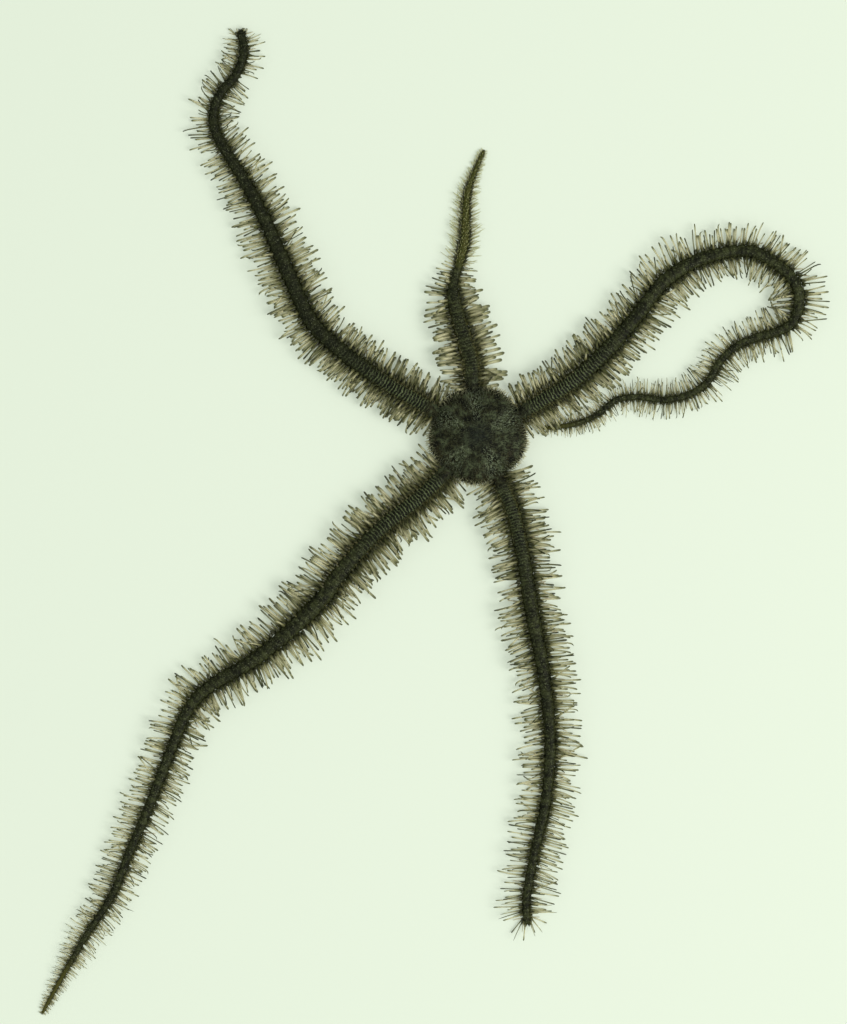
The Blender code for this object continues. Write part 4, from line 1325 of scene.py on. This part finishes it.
# %% Material: soft tissue
def plain_material(name, stops, roughness, through, grain, tints=()):
    """A colour that runs from root to tip and varies by noise. A tint is (number on the points, colour)."""
    made, tree, shader = new_material(name)
    up, tone = (node(tree, "ShaderNodeAttribute", {"attribute_name": label}).outputs["Fac"]
                for label in ("up", "tone"))
    ramp = node(tree, "ShaderNodeValToRGB", Fac=up)
    for number, (place, paint) in enumerate(stops):
        stop = ramp.color_ramp.elements[number] if number < 2 else ramp.color_ramp.elements.new(place)
        stop.position, stop.color = place, linear(paint)
    at = node(tree, "ShaderNodeTexCoord").outputs["Object"]
    mottle = node(tree, "ShaderNodeTexNoise", Vector=at, Scale=1 / grain, Detail=2.0)
    patchy = node(tree, "ShaderNodeMapRange", Value=mottle, From_Min=0.40, From_Max=0.62, To_Max=0.8)
    toned = node(tree, "ShaderNodeMapRange", Value=tone, From_Min=0.7, From_Max=1.0, To_Max=0.6)
    colour = node(tree, "ShaderNodeMix", {"data_type": "RGBA"}, Factor=patchy, A=ramp, B=linear(stops[0][1]))
    colour = node(tree, "ShaderNodeMix", {"data_type": "RGBA"}, Factor=toned, A=colour,
                  B=linear(stops[-1][1]))
    for label, paint in tints:
        share = node(tree, "ShaderNodeAttribute", {"attribute_name": label}).outputs["Fac"]
        share = node(tree, "ShaderNodeMath", {"operation": "MULTIPLY"}, in_0=share, in_1=up)
        colour = node(tree, "ShaderNodeMix", {"data_type": "RGBA"}, Factor=share, A=colour, B=linear(paint))
    tree.links.new(colour.outputs[2], shader.inputs["Base Color"])
    shader.inputs["Roughness"].default_value = roughness
    shader.inputs["IOR"].default_value = 1.4
    shader.inputs["Transmission Weight"].default_value = through
    return made


soft_tissue = plain_material("soft translucent tissue",
                             ((0.0, "#aaa07a"), (0.5, "#d5ccab"), (1.0, "#e2dcc4")),
                             roughness=0.35, through=0.3, grain=0.2 * MM)
feet = grown("tube_feet", foot_points(), coat_of_shapes, Shapes=shape_groups["foot"], Patch=PATCH,
             Finish=soft_tissue)
kept_in_room(feet)
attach(feet, "root")

# %% [markdown]
# ## The fuzz of the disc
#
# The disc's back is covered with fine spinelets, 0.2 to 0.4 mm long and up to 0.6 mm on its rim. They lean
# outwards and make it look like felt, and the felt runs on over the start of each arm and over the young
# tip. Here a second tree chooses the places: Distribute Points on Faces throws points on the skin, no two
# closer than a given distance and only where the number called fuzz is high. Every point inherits the
# skin's numbers, so each spinelet knows its own place on the unwrap. The coat tree then does the rest.

# %% The tree that throws points on the skin
def scatter_tree():
    tree, given, out = new_tree("scattered roots", {
        "Apart": "NodeSocketFloat", "Thickness": "NodeSocketFloat", "Length": "NodeSocketFloat",
        "Lean": "NodeSocketFloat", "Seed": "NodeSocketInt"})
    fuzz = node(tree, "GeometryNodeInputNamedAttribute", {"data_type": "FLOAT"}, Name="fuzz")
    thrown = node(tree, "GeometryNodeDistributePointsOnFaces", {"distribute_method": "POISSON"},
                  Mesh=given["Geometry"], Distance_Min=given["Apart"], Density_Max=60e6, Density_Factor=fuzz,
                  Seed=given["Seed"])
    # Outwards from the disc's middle, plus the skin's own normal and a little chance.
    flat = node(tree, "ShaderNodeVectorMath", {"operation": "MULTIPLY"},
                in_0=node(tree, "GeometryNodeInputPosition"), in_1=(1, 1, 0))
    outward = node(tree, "ShaderNodeVectorMath", {"operation": "NORMALIZE"}, in_0=flat)
    outward = node(tree, "ShaderNodeVectorMath", {"operation": "SCALE"}, in_0=outward, Scale=given["Lean"])
    chance = node(tree, "FunctionNodeRandomValue", {"data_type": "FLOAT_VECTOR"}, Min=(-1.0, -1.0, -0.3),
                  Max=(1.0, 1.0, 0.5), Seed=given["Seed"])
    way = node(tree, "ShaderNodeVectorMath", {"operation": "ADD"}, in_0=outward, in_1=chance)
    way = node(tree, "ShaderNodeVectorMath", {"operation": "ADD"}, in_0=way, in_1=thrown.outputs["Normal"])
    turn = node(tree, "FunctionNodeAlignRotationToVector", {"axis": "Z"}, Vector=way)
    share = node(tree, "FunctionNodeRandomValue", {"data_type": "FLOAT"}, Min=0.6, Max=1.15,
                 Seed=given["Seed"])
    rim = node(tree, "GeometryNodeInputNamedAttribute", {"data_type": "FLOAT"}, Name="rim")
    longer = node(tree, "ShaderNodeMath", {"operation": "MULTIPLY_ADD"}, in_0=rim, in_1=0.5, in_2=1.0)
    tall = node(tree, "ShaderNodeMath", {"operation": "MULTIPLY"}, in_0=share, in_1=given["Length"])
    tall = node(tree, "ShaderNodeMath", {"operation": "MULTIPLY"}, in_0=tall, in_1=longer)
    size = node(tree, "ShaderNodeCombineXYZ", X=given["Thickness"], Y=given["Thickness"], Z=tall)
    kind = node(tree, "FunctionNodeRandomValue", {"data_type": "INT"}, Min=0, Max=1, Seed=given["Seed"])
    tone = node(tree, "FunctionNodeRandomValue", {"data_type": "FLOAT"}, Min=0.0, Max=1.0,
                Seed=given["Seed"])
    roots = thrown.outputs["Points"]
    for kind_of_data, label, value in (("INT", "kind", kind), ("QUATERNION", "turn", turn),
                                       ("FLOAT_VECTOR", "size", size), ("FLOAT", "tone", tone)):
        roots = node(tree, "GeometryNodeStoreNamedAttribute", {"data_type": kind_of_data}, Geometry=roots,
                     Name=label, Value=value)
    roots = node(tree, "GeometryNodePointsToVertices", Points=roots)
    tree.links.new(roots.outputs[0], out.inputs[0])
    return tree


# %% Grow the fuzz
spots = grown("spinelet_roots", skin, scatter_tree(), Apart=0.19 * MM, Thickness=0.046 * MM,
              Length=0.34 * MM, Lean=0.9, Seed=5)
print("spinelets on the disc and the arms:", len(spots.data.vertices))
felt = plain_material("felt of fine calcite spinelets",
                      ((0.0, "#0f110a"), (0.5, "#252719"), (1.0, "#4b5037")),
                      roughness=0.5, through=0.0, grain=0.8 * MM,
                      tints=(("ray", "#7f8b72"), ("rim", "#c6c49a"), ("mossy", "#64663b"),
                             ("young", "#a8aa72")))
fuzz = grown("disc_spinelets", spots, coat_of_shapes, Shapes=shape_groups["spinelet"], Patch=PATCH,
             Finish=felt)
bpy.data.objects.remove(spots)
kept_in_room(fuzz)
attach(fuzz, "root")

# %% [markdown]
# ## The mouth
#
# Under the disc five jaws point to the middle, one between each two arms. Each jaw is a wedge of bone with
# a column of teeth at its tip and flat papillae along both edges, and between the jaws five slits lead to
# the arms. Behind each jaw lies a spearhead-shaped oral shield, with a narrow adoral shield on either side.
# All twenty pieces are made by one function: an outline seen from below, given a rounded edge like a
# cushion.

# %% Plates like cushions
# Each outline is in mm, with x away from the mouth's centre, and its corners are cut off until it is round.
JAW = ((0.42, 0.05), (0.62, 0.20), (1.05, 0.40), (1.55, 0.66), (2.00, 0.84), (2.45, 0.84), (2.66, 0.40))
ORAL_SHIELD = ((2.78, 0.04), (3.00, 0.42), (3.38, 0.78), (3.74, 0.80), (4.02, 0.46))
ADORAL_SHIELD = ((2.34, 0.90), (2.60, 0.40), (2.80, 0.30), (3.02, 0.66), (3.06, 1.06), (2.72, 1.16))
# From the middle of the underside up: (share of the outline, share of the height).
CUSHION = ((0.55, 0.0), (0.84, 0.05), (0.96, 0.18), (1.0, 0.42), (0.98, 0.85), (0.80, 1.0))


def rounded(corners, times=2):
    corners = np.array(corners)
    for _ in range(times):
        after = np.roll(corners, -1, axis=0)
        corners = np.stack([0.75 * corners + 0.25 * after, 0.25 * corners + 0.75 * after], 1).reshape(-1, 2)
    return corners


def cushion(mesh, outline, angle, low, high):
    """Adds one closed plate to the mesh, turned to its angle round the mouth."""
    turn = np.array([[math.cos(angle), -math.sin(angle)], [math.sin(angle), math.cos(angle)]])
    outline = rounded(outline) @ turn.T * MM
    middle = outline.mean(axis=0)
    rings = [[mesh.verts.new((*(middle + (point - middle) * share), (low + (high - low) * up) * MM))
              for point in outline] for share, up in CUSHION]
    for lower, upper in zip(rings, rings[1:]):
        for k in range(len(outline)):
            mesh.faces.new((lower[k - 1], lower[k], upper[k], upper[k - 1]))
    mesh.faces.new(rings[0][::-1])
    mesh.faces.new(rings[-1])


def both_sides(half):
    """The whole outline of a plate that is the same on both sides."""
    return [(x, -y) for x, y in half[::-1]] + list(half)


def mouth_mesh():
    bm = bmesh.new()
    for angle in lobe_angles:
        cushion(bm, both_sides(JAW), angle, 0.12, 1.15)
        cushion(bm, both_sides(ORAL_SHIELD), angle, 0.05, 0.50)
        for side in (-1, 1):
            corners = [(x, y * side) for x, y in ADORAL_SHIELD]
            cushion(bm, corners, angle, 0.09, 0.50)
    bmesh.ops.recalc_face_normals(bm, faces=bm.faces)
    mesh = bpy.data.meshes.new("mouth")
    bm.to_mesh(mesh)
    bm.free()
    mesh.shade_smooth()
    heights = mesh_arrays(mesh)[0][:, 2] / MM
    put_numbers(mesh, {"up": smooth_step(0.42, 0.10, heights)})
    return mesh


bone = plain_material("calcite plates in thin skin",
                      ((0.0, "#6f6843"), (0.6, "#9c9570"), (1.0, "#b4ad88")),
                      roughness=0.5, through=0.0, grain=0.3 * MM)
jaws = in_scene("jaws", mouth_mesh())
jaws.data.materials.append(bone)
print("jaws and shields:", triangles(jaws.data), "triangles,", volume_of(jaws.data), "cubic mm")
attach(jaws, "root")
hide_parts("mouth")


# %% Teeth and papillae
def papilla_points():
    """Four papillae on each side of a jaw, two at its tip, and a column of three teeth above those."""
    one_jaw = [(x, side * y, 0.24, 0.35, side, 0.30, 0.110) for side in (-1, 1)
               for x, y in ((0.78, 0.16), (1.08, 0.30), (1.40, 0.46), (1.74, 0.62))]
    one_jaw += [(0.56, side * 0.07, 0.22, 0.9, 0.4 * side, 0.26, 0.075) for side in (-1, 1)]
    one_jaw += [(0.60, 0.0, height, 1.0, 0.0, 0.34, 0.11) for height in (0.45, 0.70, 0.95)]
    points, turns, sizes = [], [], []
    for angle in lobe_angles:
        out = np.array([math.cos(angle), math.sin(angle), 0.0])
        aside = np.array([-out[1], out[0], 0.0])
        for x, y, height, inwards, sideways, length, thick in one_jaw:
            points.append((out * x + aside * y + np.array([0, 0, height])) * MM)
            way = unit(-out * inwards + aside * sideways)
            turns.append(turned_to(way, np.array([0.0, 0.0, 1.0])))
            sizes.append((0.06 * MM, thick * MM, length * MM))
    points = np.array(points)
    downwards = np.tile((0.0, 0.0, -1.0), (len(points), 1))
    return points_object("papilla_roots", points, kind=np.zeros(len(points), np.int32), turn=np.array(turns),
                         size=np.array(sizes), place=disc_unwrap(points, downwards),
                         tone=np.linspace(0, 1, len(points)) ** 2 % 1)


enamel = plain_material("bare calcite", ((0.0, "#9a926c"), (0.5, "#cfc9a8"), (1.0, "#e0dbc2")),
                        roughness=0.35, through=0.1, grain=0.2 * MM)
papillae = grown("papillae", papilla_points(), coat_of_shapes, Shapes=shape_groups["papilla"], Patch=PATCH,
                 Finish=enamel)
kept_in_room(papillae)
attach(papillae, "root")

# %% [markdown]
# ## The stage
#
# A plain pale floor, a large soft lamp high on the right, a broad one far off on the left and a pale sky.
# Small clear things are best seen on opal glass with a little light behind it, which keeps their shadows
# soft, so the floor is that. The camera looks straight down from 0.45 m. The image is 847 by 1024, and the
# long side of the sensor, 36 mm, spans 109 mm there.

# %% Floor, lights and camera
def floor():
    mesh = bpy.data.meshes.new("floor")
    reach, down = 0.6, -0.02 * MM
    corners = [(x * reach, y * reach, down) for x, y in ((-1, -1), (1, -1), (1, 1), (-1, 1))]
    mesh.from_pydata(corners, [], [(0, 1, 2, 3)])
    made = in_scene("floor", mesh)
    paint, _, shader = new_material("opal glass, lit a little from below")
    shader.inputs["Base Color"].default_value = linear("#b6beb2")
    shader.inputs["Roughness"].default_value = 0.8
    shader.inputs["Emission Color"].default_value = linear("#e4efdf")
    shader.inputs["Emission Strength"].default_value = 0.34
    mesh.materials.append(paint)
    made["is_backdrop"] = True


LIT_POINT = (-0.006, -0.008, 0)  # between the arms, where both lamps point


def lamp(name, place, size, power, colour):
    light = bpy.data.lights.new(name, "AREA")
    light.size, light.energy, light.color = size, power, linear(colour)[:3]
    made = in_scene(name, light)
    made.location = place
    made.rotation_euler = (Vector(LIT_POINT) - Vector(place)).to_track_quat("-Z", "Y").to_euler()


floor()
lamp("key", (0.42, -0.16, 0.58), 0.45, 4.3, "#fffdf8")
lamp("fill", (-1.2, -0.6, 1.5), 1.6, 4.6, "#f4fff6")
world = bpy.data.worlds.new("pale room")
world.use_nodes = True
world.node_tree.nodes["Background"].inputs["Color"].default_value = linear("#f5fbec")
world.node_tree.nodes["Background"].inputs["Strength"].default_value = 0.56
bpy.context.scene.world = world
bpy.context.scene.view_settings.view_transform = "Standard"

eye = bpy.data.cameras.new("eye")
eye.sensor_width, eye.lens = 36, 148.5
eye.clip_start, eye.clip_end = 0.01, 5
camera = in_scene("camera", eye)
camera.location = (-5.751 * MM, -8.147 * MM, 0.45)
bpy.context.scene.camera = camera

# %% [markdown]
# ## Clear the workshop and finish
#
# The rows of points, the outline and the shapes have done their work, and are removed.

# %% Finish
for group in [workshop, *shape_groups.values()]:
    for part in list(group.objects):
        bpy.data.objects.remove(part)
    bpy.data.collections.remove(group)
